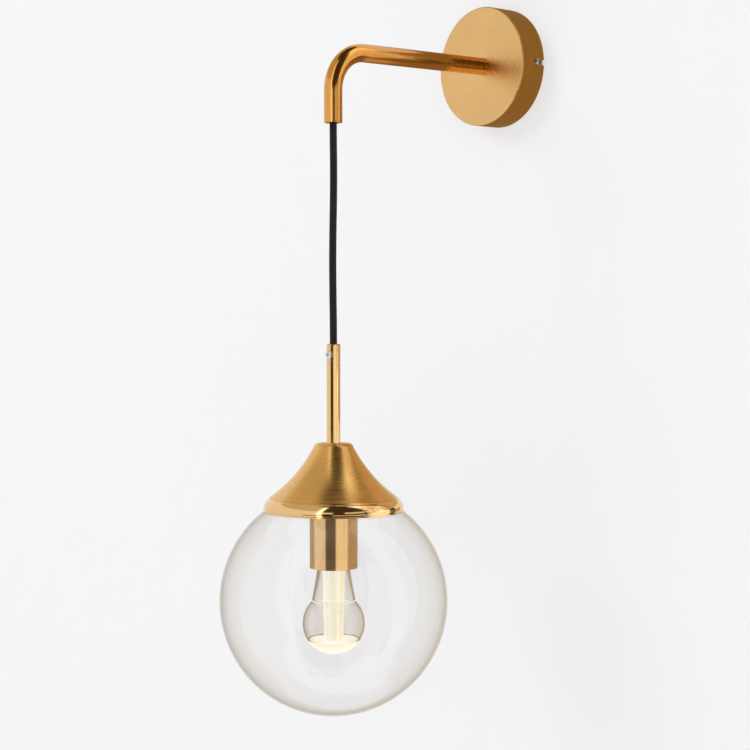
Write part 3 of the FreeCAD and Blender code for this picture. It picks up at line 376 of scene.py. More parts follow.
def turned_mesh(outline, material, sizes, place=ON_PENDANT):
    """Turn an outline about its axis. One that starts and ends on the axis is left open there."""
    area = sum(a[0] * b[1] - b[0] * a[1] for a, b in zip(outline, outline[1:] + outline[:1]))
    points = list(outline) if area > 0 else list(reversed(outline))
    if points[0][0] > 0 or points[-1][0] > 0:
        points.append(points[0])
    chain = bpy.data.meshes.new("outline")
    chain.from_pydata([(r, 0, z) for r, z in points], [(i, i + 1) for i in range(len(points) - 1)], [])
    mesh = plain_mesh(chain, turned_form(), {"Steps": sizes.segments, "Finish": material})
    mesh.transform(place)
    return mesh


def smooth(mesh, sharp_angle=math.radians(32)):
    for face in mesh.polygons:
        face.use_smooth = True
    mesh.set_sharp_from_angle(angle=sharp_angle)


def piece(name, mesh, body, slot, solid):
    """A finished piece that rides on a body and stands for its solid part."""
    smooth(mesh)
    made = placed(name, mesh)
    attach(made, body)
    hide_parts(solid)
    return made


def turned_piece(sizes, name, outline, body, slot, solid, made_of=None):
    """A finished piece turned from its outline. Made_of is its finish, where that isn't its slot's own."""
    piece(name, turned_mesh(outline, finish(made_of or slot), sizes), body, slot, solid)


# ---- shader groups
def shader_group(name, inputs, outputs):
    """Shader group that takes a vector and named numbers, and puts out named numbers."""
    given = [("Vector", "Vector", None)] + [(label, "Float", value) for label, value in inputs.items()]
    return new_tree(name, "ShaderNodeTree", given, [(label, "Float") for label in outputs])


def window(tree, value, low, high):
    """Map a value from low..high to 0..1."""
    span = {"Value": value, "From Min": low, "From Max": high}
    return node(tree, "ShaderNodeMapRange", span).outputs["Result"]


def off_axis(tree, point):
    """Distance of a split vector from the Z axis."""
    level = node(tree, "ShaderNodeCombineXYZ", {0: point["X"], 1: point["Y"]}).outputs[0]
    return node(tree, "ShaderNodeVectorMath", {0: level}, operation="LENGTH").outputs["Value"]


def noise(tree, vector, scale, detail=2.0, roughness=0.5):
    return node(tree, "ShaderNodeTexNoise", {"Vector": vector, "Scale": scale, "Detail": detail,
                                             "Roughness": roughness}).outputs["Fac"]


@built_once("Turned Marks")
def turned_marks(name):
    """Fine rings left by turning or spinning round the Z axis, which drift a little."""
    group, given, result = shader_group(name, {"Rings Per Metre": 900.0, "Drift": 0.3}, ("Height", "Tone"))
    point = node(group, "ShaderNodeSeparateXYZ", {0: given["Vector"]}).outputs
    drift = maths(group, "MULTIPLY", noise(group, given["Vector"], 55.0, 1.0), given["Drift"])
    across = maths(group, "MULTIPLY_ADD", off_axis(group, point), given["Rings Per Metre"], drift)
    upwards = maths(group, "MULTIPLY", point["Z"], given["Rings Per Metre"])
    ring_place = node(group, "ShaderNodeCombineXYZ", {0: across, 1: upwards}).outputs[0]
    group.links.new(noise(group, ring_place, 1.0, 4.0, 0.65), result["Height"])
    group.links.new(noise(group, ring_place, 0.22, 2.0, 0.5), result["Tone"])
    return group


@built_once("Drawn Marks")
def drawn_marks(name):
    """Fine lines along the Z axis, left by drawing and brushing a tube lengthwise."""
    group, given, result = shader_group(name, {"Lines Per Metre": 1800.0, "Stretch": 0.02},
                                        ("Height", "Tone"))
    scale = node(group, "ShaderNodeCombineXYZ", {0: 1.0, 1: 1.0, 2: given["Stretch"]}).outputs[0]
    place = node(group, "ShaderNodeVectorMath", {0: given["Vector"], 1: scale}, operation="MULTIPLY").outputs[0]
    place = node(group, "ShaderNodeVectorMath", {0: place, "Scale": given["Lines Per Metre"]},
                 operation="SCALE").outputs[0]
    group.links.new(noise(group, place, 1.0, 4.0, 0.6), result["Height"])
    group.links.new(noise(group, place, 0.25, 2.0, 0.5), result["Tone"])
    return group


@built_once("Surface Life")
def surface_life(name):
    """Slow clouds of tone, fine grain, and a few rubbed patches."""
    group, given, result = shader_group(name, {"Cloud Scale": 25.0, "Grain Scale": 1500.0},
                                        ("Cloud", "Grain", "Rubbed"))
    cloud = noise(group, given["Vector"], given["Cloud Scale"], 3.0, 0.55)
    group.links.new(cloud, result["Cloud"])
    group.links.new(noise(group, given["Vector"], given["Grain Scale"], 2.0, 0.6), result["Grain"])
    group.links.new(window(group, cloud, 0.52, 0.72), result["Rubbed"])
    return group


def use_group(tree, group, vector, **values):
    """Place a group in a material. Underscores in a value's name stand for spaces."""
    made = node(tree, "ShaderNodeGroup", node_tree=group)
    tree.links.new(vector, made.inputs["Vector"])
    for key, value in values.items():
        made.inputs[key.replace("_", " ")].default_value = value
    return made.outputs


# ---- materials
def new_material(name, **constants):
    """Material with one Principled shader, whose plain values are set on its own sockets."""
    material = bpy.data.materials.new(name)
    material.use_nodes = True
    tree = material.node_tree
    shader = tree.nodes["Principled BSDF"]
    for key, value in constants.items():
        shader.inputs[key.replace("_", " ")].default_value = value
    return material, tree, shader


def glow(tree, rgb):
    return node(tree, "ShaderNodeEmission", {"Color": (*rgb, 1.0), "Strength": 1.0}).outputs[0]


def open_way(tree):
    return node(tree, "ShaderNodeBsdfTransparent").outputs[0]


def mixed(tree, share, first, second):
    """Mix of two shaders, all of the first where share is 0."""
    return node(tree, "ShaderNodeMixShader", {0: share, 1: first, 2: second}).outputs[0]


def object_place(tree, centre=(0.0, 0.0, 0.0), turn=(0.0, 0.0, 0.0)):
    """Object coordinates, moved so that centre is the origin, then turned."""
    place = node(tree, "ShaderNodeTexCoord").outputs["Object"]
    moved = node(tree, "ShaderNodeMapping", {"Vector": place, "Location": tuple(-c for c in centre)}).outputs[0]
    return node(tree, "ShaderNodeMapping", {"Vector": moved, "Rotation": turn}).outputs[0]


def tinted(rgb, factor):
    return tuple(min(1.0, c * factor) for c in rgb)


def bump(tree, shader, height, strength, distance):
    made = node(tree, "ShaderNodeBump", {"Height": height, "Strength": strength, "Distance": distance})
    tree.links.new(made.outputs[0], shader.inputs["Normal"])


def marked_metal(name, rgb, roughness, marks, place, depth, rings=None, play=0.05, spun=0.0):
    """Metal with turned or drawn marks, soft clouds of tone and slightly uneven gloss.

    Depth is that of the marks. Spun is the pull of the gloss across the rings of a flat face that is turned
    about the Y axis.
    """
    material, tree, shader = new_material(name, Metallic=1.0, Coat_Weight=0.0)
    vector = place(tree)
    values = {"Rings_Per_Metre": rings} if rings else {}
    lines = use_group(tree, marks(), vector, **values)
    life = use_group(tree, surface_life(), vector)
    tone = maths(tree, "MULTIPLY_ADD", lines["Tone"], 0.5, maths(tree, "MULTIPLY", life["Cloud"], 0.5))
    shade = blend_colour(tree, window(tree, tone, 0.35, 0.65), tinted(rgb, 1 - play), tinted(rgb, 1 + play))
    tree.links.new(shade, shader.inputs["Base Color"])
    uneven = spread(tree, lines["Tone"], roughness - play, roughness + play)
    tree.links.new(maths(tree, "MULTIPLY_ADD", life["Rubbed"], play / 2, uneven), shader.inputs["Roughness"])
    bump(tree, shader, lines["Height"], 1.0, depth)
    if spun:
        shader.inputs["Anisotropic"].default_value = spun
        around = node(tree, "ShaderNodeTangent", direction_type="RADIAL", axis="Y")
        tree.links.new(around.outputs[0], shader.inputs["Tangent"])
    return material


def grained(name, rgb, roughness, metallic=0.0, relief=0.1, contrast=0.06, cloud=60.0, **constants):
    """Plain material of a moulded, plated or fired part: clouds of tone, grain and uneven gloss."""
    material, tree, shader = new_material(name, Metallic=metallic, **constants)
    life = use_group(tree, surface_life(), object_place(tree), Cloud_Scale=cloud)
    dark = tinted(rgb, 1 - contrast)
    light = tinted(rgb, 1 + contrast)
    tree.links.new(blend_colour(tree, life["Cloud"], dark, light), shader.inputs["Base Color"])
    tree.links.new(spread(tree, life["Rubbed"], roughness, roughness * 0.75), shader.inputs["Roughness"])
    bump(tree, shader, life["Grain"], relief, 0.00005)
    return material


def pendant_place(tree):
    return object_place(tree, centre=(0.0, AXIS_Y, 0.0))


def canopy_place(tree):
    return object_place(tree, turn=(math.radians(90), 0.0, 0.0))


def unbent_place(tree):
    return node(tree, "ShaderNodeAttribute", attribute_name="unbent").outputs["Vector"]


def clear(name, rgb, ior, ripple, absorbs=0.0, ripples=0.0):
    """Clear glass or plastic. Shadow rays pass it, so that what stands inside is lit."""
    material, tree, shader = new_material(name, Metallic=0.0, Transmission_Weight=1.0, IOR=ior, Roughness=0.0)
    vector = pendant_place(tree)
    life = use_group(tree, surface_life(), vector, Cloud_Scale=9.0)
    tree.links.new(blend_colour(tree, life["Cloud"], tinted(rgb, 0.995), rgb), shader.inputs["Base Color"])
    if ripples:
        moulded = use_group(tree, turned_marks(), vector, Rings_Per_Metre=ripples)
        bump(tree, shader, moulded["Tone"], ripple, 0.0002)
    else:
        bump(tree, shader, life["Cloud"], ripple, 0.002)
    shadow = node(tree, "ShaderNodeLightPath").outputs["Is Shadow Ray"]
    output = tree.nodes["Material Output"]
    tree.links.new(mixed(tree, shadow, shader.outputs[0], open_way(tree)), output.inputs["Surface"])
    if absorbs:
        depth = node(tree, "ShaderNodeVolumeAbsorption", {"Color": (0.0, 0.0, 0.0, 1.0), "Density": absorbs})
        tree.links.new(depth.outputs[0], output.inputs["Volume"])
    return material


def lit(name, rgb, strength, streaks=0.0, rim=0.0):
    """Lit frosted plastic, warmer in golden streaks that run down round the axis, or towards its rim."""
    material, tree, shader = new_material(name, Metallic=0.0, Roughness=0.35, Emission_Strength=strength,
                                          Base_Color=(0.2, 0.19, 0.16, 1.0))
    vector = pendant_place(tree)
    life = use_group(tree, surface_life(), vector, Cloud_Scale=120.0)
    mask = spread(tree, life["Cloud"], 0.0, 0.2)
    point = node(tree, "ShaderNodeSeparateXYZ", {0: vector}).outputs
    if streaks:
        angle = maths(tree, "ARCTAN2", point["Y"], point["X"])
        place = node(tree, "ShaderNodeCombineXYZ", {0: maths(tree, "MULTIPLY", angle, streaks), 1: point["Z"]})
        streak = noise(tree, place.outputs[0], 1.0, 3.0, 0.6)
        mask = maths(tree, "MAXIMUM", mask, window(tree, streak, 0.44, 0.6))
    if rim:
        mask = maths(tree, "MAXIMUM", mask, window(tree, off_axis(tree, point), rim * 0.6, rim))
    warm = (rgb[0], rgb[1] * 0.84, rgb[2] * 0.52)
    tree.links.new(blend_colour(tree, mask, rgb, warm), shader.inputs["Emission Color"])
    bump(tree, shader, life["Grain"], 0.05, 0.00005)
    return material


def braid_fabric(name, rgb):
    """Matt textile: painted shade between the strands and a painted highlight on their crowns, with fine yarn.
    """
    material, tree, shader = new_material(name, Metallic=0.0, Sheen_Weight=0.08, Sheen_Roughness=0.6,
                                          Specular_IOR_Level=0.18)
    strand = node(tree, "ShaderNodeAttribute", attribute_name="strand").outputs["Fac"]
    life = use_group(tree, surface_life(), object_place(tree), Cloud_Scale=300.0, Grain_Scale=5200.0)
    # The crest height of each strand paints the colour lighter on the crowns and darker between the strands:
    # painted highlight and painted shade. The cloud adds tone that differs at random.
    shade = maths(tree, "MULTIPLY_ADD", life["Cloud"], 0.4, maths(tree, "MULTIPLY", strand, 0.7))
    tree.links.new(blend_colour(tree, shade, tinted(rgb, 0.4), tinted(rgb, 1.9)), shader.inputs["Base Color"])
    tree.links.new(spread(tree, life["Cloud"], 0.72, 0.95), shader.inputs["Roughness"])
    bump(tree, shader, life["Grain"], 0.5, 0.0001)
    return material


MARKED_METALS = {       # colour, roughness, marks and what they follow, their depth, further values
    "satin_brass": ("satin_brass", 0.27, turned_marks, pendant_place, 1.1e-5,
                    {"rings": 1500.0, "play": 0.07}),
    "spun_brass": ("spun_brass", 0.27, turned_marks, canopy_place, 2e-5, {"rings": 1300.0, "spun": 0.7}),
    "drawn_brass": ("drawn_brass", 0.17, drawn_marks, unbent_place, 0.8e-5, {}),
    "polished_brass": ("polished_brass", 0.1, turned_marks, pendant_place, 0.3e-5, {"play": 0.03}),
    "sleeve_brass": ("polished_brass", 0.17, turned_marks, pendant_place, 0.5e-5, {"play": 0.03}),
}
METAL = {"metallic": 1.0}
PLAIN_PARTS = {         # colour, roughness, further values
    "plain_brass": ((0.70, 0.50, 0.24), 0.35, METAL),
    "zinc_steel": ("zinc", 0.38, METAL),
    "spring_steel": ((0.50, 0.51, 0.53), 0.3, METAL),
    "nickel": ("nickel", 0.18, {"metallic": 1.0, "relief": 0.04}),
    "solder": ((0.62, 0.62, 0.62), 0.3, {"metallic": 1.0, "relief": 0.2}),
    "black_nylon": ((0.018, 0.018, 0.018), 0.5, {}),
    "white_nylon": ((0.80, 0.79, 0.75), 0.45, {}),
    "brown_insulation": ((0.20, 0.09, 0.045), 0.4, {}),
    "blue_insulation": ((0.05, 0.15, 0.42), 0.4, {}),
    "green_insulation": ((0.30, 0.42, 0.06), 0.4, {"contrast": 0.3, "cloud": 160.0}),
    "clear_silicone": ((0.72, 0.72, 0.70), 0.4, {"Transmission_Weight": 0.3}),
    "ceramic_white": ((0.82, 0.81, 0.78), 0.42, {"relief": 0.2}),
    "black_vitrite": ((0.012, 0.012, 0.016), 0.12, {"contrast": 0.2}),
    "circuit_board": ((0.05, 0.24, 0.10), 0.35, {"contrast": 0.2, "cloud": 400.0}),
    "white_board": ((0.84, 0.84, 0.82), 0.4, {}),
}
OTHER_PARTS = {         # recipe, colour, further values
    "black_fabric": (braid_fabric, "cord", {}),
    "clear_glass": (clear, (1.0, 1.0, 1.0), {"ior": 1.47, "ripple": 0.05, "absorbs": 7.0}),
    "clear_plastic": (clear, (0.94, 0.925, 0.895), {"ior": 1.49, "ripple": 0.3, "ripples": 900.0}),
    "milky_plastic": (lit, (0.98, 0.96, 0.90), {"strength": 0.8}),
    "glowing_lens": (lit, "lens", {"strength": 0.93, "rim": BALL_R}),
    "glowing_guide": (lit, "guide", {"strength": 0.95, "streaks": 5.0}),
}


def finish(slot):
    """The material of one of the record's slots, made when it is first asked for."""
    name = "sconce_" + slot
    if name in bpy.data.materials:
        return bpy.data.materials[name]
    if slot in MARKED_METALS:
        rgb, *values, more = MARKED_METALS[slot]
        recipe = marked_metal
    elif slot in PLAIN_PARTS:
        rgb, *values, more = PLAIN_PARTS[slot]
        recipe = grained
    else:
        recipe, rgb, more = OTHER_PARTS[slot]
        values = []
    if isinstance(rgb, str):
        rgb = tuple(getattr(bpy.context.scene.sconce_colours, rgb))
    return recipe(name, rgb, *values, **more)


# ---- outlines of this object's pieces
def meeting_point(first, first_r, second, second_r):
    """Where two circles meet, on the left of the line from the first to the second."""
    apart = math.dist(first, second)
    along = (apart ** 2 + first_r ** 2 - second_r ** 2) / (2 * apart)
    off = math.sqrt(first_r ** 2 - along ** 2)
    dx = (second[0] - first[0]) / apart
    dz = (second[1] - first[1]) / apart
    return (first[0] + dx * along - dz * off, first[1] + dz * along + dx * off)


def cap_curve(sizes, inset):
    """The cap's corner and flare, then its band, as points down to its edge, moved inwards by inset."""
    cap_r = cap_high.x
    corner = (sizes.cap_flat / 2, cap_high.z - sizes.cap_corner)
    band = (cap_r - sizes.cap_shoulder, cap_low.z + sizes.cap_rim)
    flare = meeting_point(corner, sizes.cap_flare + sizes.cap_corner,
                          band, sizes.cap_flare + sizes.cap_shoulder)
    corner_r = sizes.cap_corner - inset
    band_r = sizes.cap_shoulder - inset
    flare_top = towards(corner, corner_r, flare)
    flare_low = towards(band, band_r, flare)
    points = sweep(corner, (corner[0], cap_high.z - inset), flare_top, 10)
    points += sweep(flare, flare_top, flare_low, 48)[1:]
    return points, sweep(band, flare_low, (cap_r - inset, band[1]), 16)


def cap_outline(sizes):
    hole_r = sizes.bore / 2
    wall = sizes.cap_wall
    upper, band = cap_curve(sizes, 0.0)
    inner_upper, inner_band = cap_curve(sizes, wall)
    groove = towards(upper[-1], sizes.cap_groove, inner_upper[-1])
    inner_r = cap_high.x - wall
    inner_low = GLOBE_Z + height_on(GLOBE_R + RIM_GAP, inner_r)
    lip = softened([band[-1], (cap_high.x, cap_low.z), (inner_r, inner_low), inner_band[-1]], sizes.edge_round)
    outer = [(hole_r, cap_high.z)] + upper[:-1] + [groove] + band[1:-1] + lip
    inner = list(reversed(inner_upper[:-1] + inner_band[:-1]))
    return outer + inner + [(hole_r, cap_high.z - wall)]


def globe_outline(sizes):
    """Blown ball with a short straight neck and a fire-rounded lip."""
    outer = GLOBE_R
    inner = GLOBE_R - sizes.glass_wall
    neck_r = sizes.neck_diameter / 2
    bore_r = neck_r - sizes.glass_wall
    centre = (0.0, GLOBE_Z)
    root = (neck_r + sizes.neck_root, GLOBE_Z + height_on(outer + sizes.neck_root, neck_r + sizes.neck_root))
    root_low = towards(centre, outer, root)
    lip = (neck_r - bore_r) / 2
    lip_centre = (neck_r - lip, globe_high.z - lip)
    bore_low = (bore_r, GLOBE_Z + height_on(inner, bore_r))
    outside = (outer, GLOBE_Z)
    inside = (inner, GLOBE_Z)
    points = sweep(centre, (0.0, GLOBE_Z - outer), outside, 48)
    points += sweep(centre, outside, root_low, 36)[1:]
    points += sweep(root, root_low, (neck_r, root[1]), 8)[1:]
    points += sweep(lip_centre, (neck_r, lip_centre[1]), (lip_centre[0], globe_high.z), 5)
    points += sweep(lip_centre, (lip_centre[0], globe_high.z), (bore_r, lip_centre[1]), 5)[1:]
    points += sweep(centre, bore_low, inside, 36)
    points += sweep(centre, inside, (0.0, GLOBE_Z - inner), 48)[1:]
    return points


def cup_outline(sizes):
    """Sleeve round the lampholder: rounded at its closed top, with a softly broken edge at its mouth."""
    outer = cup_high.x
    inner = outer - sizes.cup_wall
    bend = sizes.cup_round
    top = cup_high.z
    crown = sweep((outer - bend, top - bend), (outer, top - bend), (outer - bend, top), 8)
    under = top - sizes.cup_wall
    return softened([(inner, cup_low.z), (outer, cup_low.z)] + crown
                    + [(sizes.bore / 2, top), (sizes.bore / 2, under), (inner, under)], sizes.edge_round)


def bulb_neck_outline(sizes):
    """Clear cone from the screw cap to the seam, with the collar that plugs into the cap."""
    collar_r = sizes.bulb_collar_diameter / 2
    inner_collar = collar_r - sizes.bulb_wall
    foot_z = neck_high.z - sizes.bulb_collar
    top_r = collar_r + NECK_SHOULDER
    return softened([(neck_high.x - sizes.bulb_wall, neck_low.z), (neck_high.x, neck_low.z), (top_r, foot_z),
                     (collar_r, foot_z), (collar_r, neck_high.z), (inner_collar, neck_high.z),
                     (inner_collar, foot_z)], sizes.edge_round / 2)


def bulb_ball_outline(sizes):
    """Clear shell between the seam and the lens, round outside and inside."""
    inner = BALL_R - sizes.bulb_wall
    centre = (0.0, BALL_Z)

    def level(radius, z):
        return (height_on(radius, z - BALL_Z), z)

    points = sweep(centre, level(BALL_R, ball_low.z), (BALL_R, BALL_Z), 14)
    points += sweep(centre, (BALL_R, BALL_Z), level(BALL_R, ball_high.z), 20)[1:]
    points += sweep(centre, level(inner, ball_high.z), (inner, BALL_Z), 20)
    points += sweep(centre, (inner, BALL_Z), level(inner, ball_low.z), 14)[1:]
    return points


def bulb_lens_outline():
    """Frosted cap of the ball, flat on top."""
    rim = (height_on(BALL_R, lens_high.z - BALL_Z), lens_high.z)
    return sweep((0.0, BALL_Z), (0.0, lens_low.z), rim, 24) + [(0.0, lens_high.z)]


def seam_outline(sizes):
    """Milky joint ring, its edge rolled a little."""
    inner = guide_high.x - SEAM_LAP
    low = (height_on(BALL_R, seam_low.z - BALL_Z), seam_low.z)
    return softened([(inner, seam_low.z), low, (neck_high.x, seam_high.z), (inner, seam_high.z)],
                    sizes.edge_round)


# ---- the arm and the cord
def arm_tube_mesh(sizes):
    """Straight tube with rounded ends, then bent along the arm's route."""
    radius = arm_high.x
    start_y = arm_high.y
    level_run = start_y - AXIS_Y - sizes.arm_bend
    bend_run = sizes.arm_bend * math.pi / 2
    drop_run = -arm_low.z - sizes.arm_bend
    total = level_run + bend_run + drop_run
    rings = 150
    inner = radius - sizes.arm_wall
    wall_out = [(radius, total * i / rings) for i in range(rings + 1)]
    wall_in = [(inner, z) for _, z in reversed(wall_out)]
    mesh = turned_mesh(softened(wall_out + wall_in, sizes.edge_round), finish("drawn_brass"), sizes, Matrix())
    straight = mesh.attributes.new("unbent", "FLOAT_VECTOR", "POINT")
    for vertex, kept in zip(mesh.vertices, straight.data):
        kept.vector = vertex.co
        x, up, run = vertex.co
        if run < level_run:
            y, z = start_y - run, up
        elif run < level_run + bend_run:
            angle = (run - level_run) / sizes.arm_bend
            reach = sizes.arm_bend + up
            y = AXIS_Y + sizes.arm_bend - reach * math.sin(angle)
            z = -sizes.arm_bend + reach * math.cos(angle)
        else:
            y, z = AXIS_Y - up, -sizes.arm_bend - (run - level_run - bend_run)
        sunk = sizes.arm_droop * min(1.0, (start_y - y) / level_run)
        kept_up = min(1.0, (z - arm_low.z) / drop_run)
        vertex.co = (x, y, z - sunk * kept_up)
    return mesh


def cord_route():
    """The hanging cord: nearly straight under the lamp's weight, with the slight bow that the fabric keeps."""
    bow = [(BEND_Z, 0.0), (-0.075, 0.0), (-0.100, 0.0003), (-0.130, 0.0002), (-0.160, -0.0004),
           (-0.190, -0.0006), (-0.220, -0.0003), (-0.242, 0.0), (cord_low.z, 0.0)]
    return [Vector((0.0, AXIS_Y, z)) + CAMERA_RIGHT * off for z, off in bow]


def route_points(points):
    """Points along one smooth spline that has the route's points as its control points."""
    curve = bpy.data.curves.new("cord_route", "CURVE")
    curve.dimensions = "3D"
    curve.resolution_u = 12
    spline = curve.splines.new("NURBS")
    spline.points.add(len(points) - 1)
    for target, point in zip(spline.points, points):
        target.co = (*point, 1.0)
    spline.order_u = 3
    spline.use_endpoint_u = True
    holder = placed("cord_route", curve)
    graph = bpy.context.evaluated_depsgraph_get()
    mesh = bpy.data.meshes.new_from_object(holder.evaluated_get(graph))
    bpy.data.objects.remove(holder)
    return mesh


# ---- the stage
def stage_object(name, corners, faces, material):
    mesh = bpy.data.meshes.new(name)
    mesh.from_pydata(corners, [], faces)
    mesh.materials.append(material)
    made = placed(name, mesh)
    return made


def seen_ray(tree):
    """1 for rays that see a surface directly, in gloss or through glass."""
    light = node(tree, "ShaderNodeLightPath").outputs
    seen = maths(tree, "MAXIMUM", light["Is Camera Ray"], light["Is Glossy Ray"])
    return maths(tree, "MAXIMUM", seen, light["Is Transmission Ray"])


def pale_wall(rgb, lift=0.6):
    """Matt paint, lifted towards its own colour where it is seen. It is see-through from behind."""
    material, tree, shader = new_material("pale_wall", Metallic=0.0, Roughness=0.9, Specular_IOR_Level=0.1)
    life = use_group(tree, surface_life(), object_place(tree), Cloud_Scale=1.5, Grain_Scale=300.0)
    tree.links.new(blend_colour(tree, life["Cloud"], tinted(rgb, 0.995), tinted(rgb, 1.005)),
                   shader.inputs["Base Color"])
    bump(tree, shader, life["Grain"], 0.02, 0.0005)
    front = mixed(tree, maths(tree, "MULTIPLY", seen_ray(tree), lift), shader.outputs[0], glow(tree, rgb))
    behind = node(tree, "ShaderNodeNewGeometry").outputs["Backfacing"]
    tree.links.new(mixed(tree, behind, front, open_way(tree)), tree.nodes["Material Output"].inputs["Surface"])
    return material


def card_material(name, rgb, in_glass, in_globe):
    """Plain glow. Clear glass mirrors the card as the grey in_glass, or not at all where that is None.

    A card in_globe shows only to rays that were mirrored inside the globe and left it through the glass: to
    those from its brass, and more faintly to those from the glass's own inner side.
    """
    material = bpy.data.materials.new(name)
    material.use_nodes = True
    tree = material.node_tree
    tree.nodes.clear()
    mirrored = open_way(tree) if in_glass is None else glow(tree, grey(in_glass))
    light = node(tree, "ShaderNodeLightPath").outputs
    glass = light["Is Singular Ray"]
    if in_globe:
        through = maths(tree, "GREATER_THAN", light["Transmission Depth"], 1.5)
        mirrored_once = maths(tree, "GREATER_THAN", light["Glossy Depth"], 0.5)
        glass = maths(tree, "SUBTRACT", 1.0, maths(tree, "MULTIPLY", through, mirrored_once))
    output = node(tree, "ShaderNodeOutputMaterial")
    tree.links.new(mixed(tree, glass, glow(tree, rgb), mirrored), output.inputs["Surface"])
    return material


def card_object(name, corners, faces, rgb, in_glass=None, in_globe=False):
    """Studio card that only gloss shows, and that neither lights nor shades anything."""
    card = stage_object(name, corners, faces, card_material(name, rgb, in_glass, in_globe))
    card.visible_camera = False
    card.visible_diffuse = False
    card.visible_shadow = False


def studio_card(name, azimuth, elevation, distance, rgb, centre_z=cap_low.z, steps=16, in_glass=None,
                in_globe=False):
    """Card bent round the pendant between two directions, as seen from a point of its axis.

    Azimuth is turned from the camera's own direction, to its right. Where the card would pass the wall it
    lies on the wall. An elevation past 90 degrees goes on down the far side.
    """
    centre = Vector((0.0, AXIS_Y, centre_z))
    gap = WALL_GAP * (2 if in_globe else 1)
    corners = []
    for i in range(steps + 1):
        turn = CAMERA_AZIMUTH + math.radians(azimuth[0] + (azimuth[1] - azimuth[0]) * i / steps)
        level = Vector((math.sin(turn), -math.cos(turn), 0.0))
        for k in range(steps + 1):
            rise = math.radians(elevation[0] + (elevation[1] - elevation[0]) * k / steps)
            way = level * math.cos(rise) + Vector((0.0, 0.0, math.sin(rise)))
            reach = distance
            if way.y * distance > -AXIS_Y - gap:
                reach = (-AXIS_Y - gap) / way.y
            corners.append(centre + way * reach)
    row = steps + 1
    faces = [(i * row + k, (i + 1) * row + k, (i + 1) * row + k + 1, i * row + k + 1)
             for i in range(steps) for k in range(steps)]
    card_object(name, corners, faces, rgb, in_glass, in_globe)


def wall_card(name, x_range, z_range, rgb):
    """Card that lies on the wall. Darker than the wall and shown only in gloss, it is painted shade of the wall
    in the brass's reflections.
    """
    corners = [(x, -WALL_GAP, z) for z in z_range for x in x_range]
    card_object(name, corners, [(0, 1, 3, 2)], rgb)


def grey(value):
    return (value, value, value)


def area_light(name, place, target, size, power):
    """Soft lamp that lights matt surfaces. Gloss shows the studio cards in its place."""
    light = bpy.data.lights.new(name, "AREA")
    light.shape = "SQUARE"
    light.size = size
    light.energy = power
    made = placed(name, light)
    made.visible_glossy = False
    made.visible_transmission = False
    made.location = place
    made.rotation_euler = (Vector(target) - Vector(place)).to_track_quat("-Z", "Y").to_euler()


def pale_world(scene, rgb, ambient):
    """Soft light all round. Seen directly, in gloss or through glass it is the wall's own colour."""
    world = bpy.data.worlds.new("studio")
    scene.world = world
    world.use_nodes = True
    tree = world.node_tree
    tree.nodes.clear()
    soft = node(tree, "ShaderNodeBackground", {"Color": (1.0, 1.0, 1.0, 1.0), "Strength": ambient})
    pale = node(tree, "ShaderNodeBackground", {"Color": (*rgb, 1.0), "Strength": 1.0})
    output = node(tree, "ShaderNodeOutputWorld")
    tree.links.new(mixed(tree, seen_ray(tree), soft.outputs[0], pale.outputs[0]), output.inputs["Surface"])


# ---- operators
class SCONCE_OT_canopy_and_fittings(bpy.types.Operator):
    """Give the canopy, the screws and every inner solid part its finish"""
    bl_idname = "sconce.canopy_and_fittings"
    bl_label = "Canopy and Fittings"

    def execute(self, context):
        own = {"canopy": "spun_brass", "arm_tube": "plain_brass"}
        for part in frame["record"]["subparts"]:
            solid = frame["nodes"][part["node"]]
            solid.data.materials.clear()
            solid.data.materials.append(finish(own.get(part["node"], part["material_slot"])))
        return {"FINISHED"}


class SCONCE_OT_arm(bpy.types.Operator):
    """Bend the drawn brass tube of the arm"""
    bl_idname = "sconce.arm"
    bl_label = "Arm"

    def execute(self, context):
        piece("bent_arm", arm_tube_mesh(context.scene.sconce_sizes), "wall_arm", "satin_brass", "arm_tube")
        return {"FINISHED"}


class SCONCE_OT_cord(bpy.types.Operator):
    """Braid the fabric cord between the arm and the stem"""
    bl_idname = "sconce.cord"
    bl_label = "Cord"

    def execute(self, context):
        sizes = context.scene.sconce_sizes
        radius = sizes.cord_diameter / 2
        route = route_points(cord_route())
        path = [tuple(vertex.co) for vertex in route.vertices]
        values = {"Radius": radius - sizes.braid_relief * (1 - MIDDLE_CREST), "Strands": sizes.braid_strands,
                  "Pick": sizes.braid_pick, "Relief": sizes.braid_relief, "Finish": finish("black_fabric")}
        cord = piece("braided_cord", plain_mesh(route, braided_sleeve(), values), "pendant", "black_fabric",
                     "hanging_cord")
        crown_r = radius - sizes.braid_relief
        crown = sweep((0.0, BEND_Z), (0.0, BEND_Z - crown_r), (crown_r, BEND_Z), 10)
        crown += sweep((0.0, BEND_Z), (crown_r, BEND_Z), (0.0, BEND_Z + crown_r), 10)[1:]
        turned_piece(sizes, "cord_in_tip", crown, "cord_swivel", "black_fabric", "cord_bend")
        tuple(path[0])
        return {"FINISHED"}


class SCONCE_OT_shade_cap(bpy.types.Operator):
    """Spin the flared cap, satin on its flare and polished on its band"""
    bl_idname = "sconce.shade_cap"
    bl_label = "Shade Cap"

    def execute(self, context):
        sizes = context.scene.sconce_sizes
        mesh = turned_mesh(cap_outline(sizes), finish("satin_brass"), sizes)
        mesh.materials.append(finish("polished_brass"))
        upper, _ = cap_curve(sizes, 0.0)
        for face in mesh.polygons:
            if face.center.z < upper[-1][1]:
                face.material_index = 1
        piece("spun_cap", mesh, "pendant", "satin_brass", "shade_cap")
        return {"FINISHED"}


class SCONCE_OT_globe(bpy.types.Operator):
    """Blow the clear glass globe"""
    bl_idname = "sconce.globe"
    bl_label = "Glass Globe"

    def execute(self, context):
        sizes = context.scene.sconce_sizes
        turned_piece(sizes, "clear_globe", globe_outline(sizes), "globe", "clear_glass", "glass_globe")
        return {"FINISHED"}


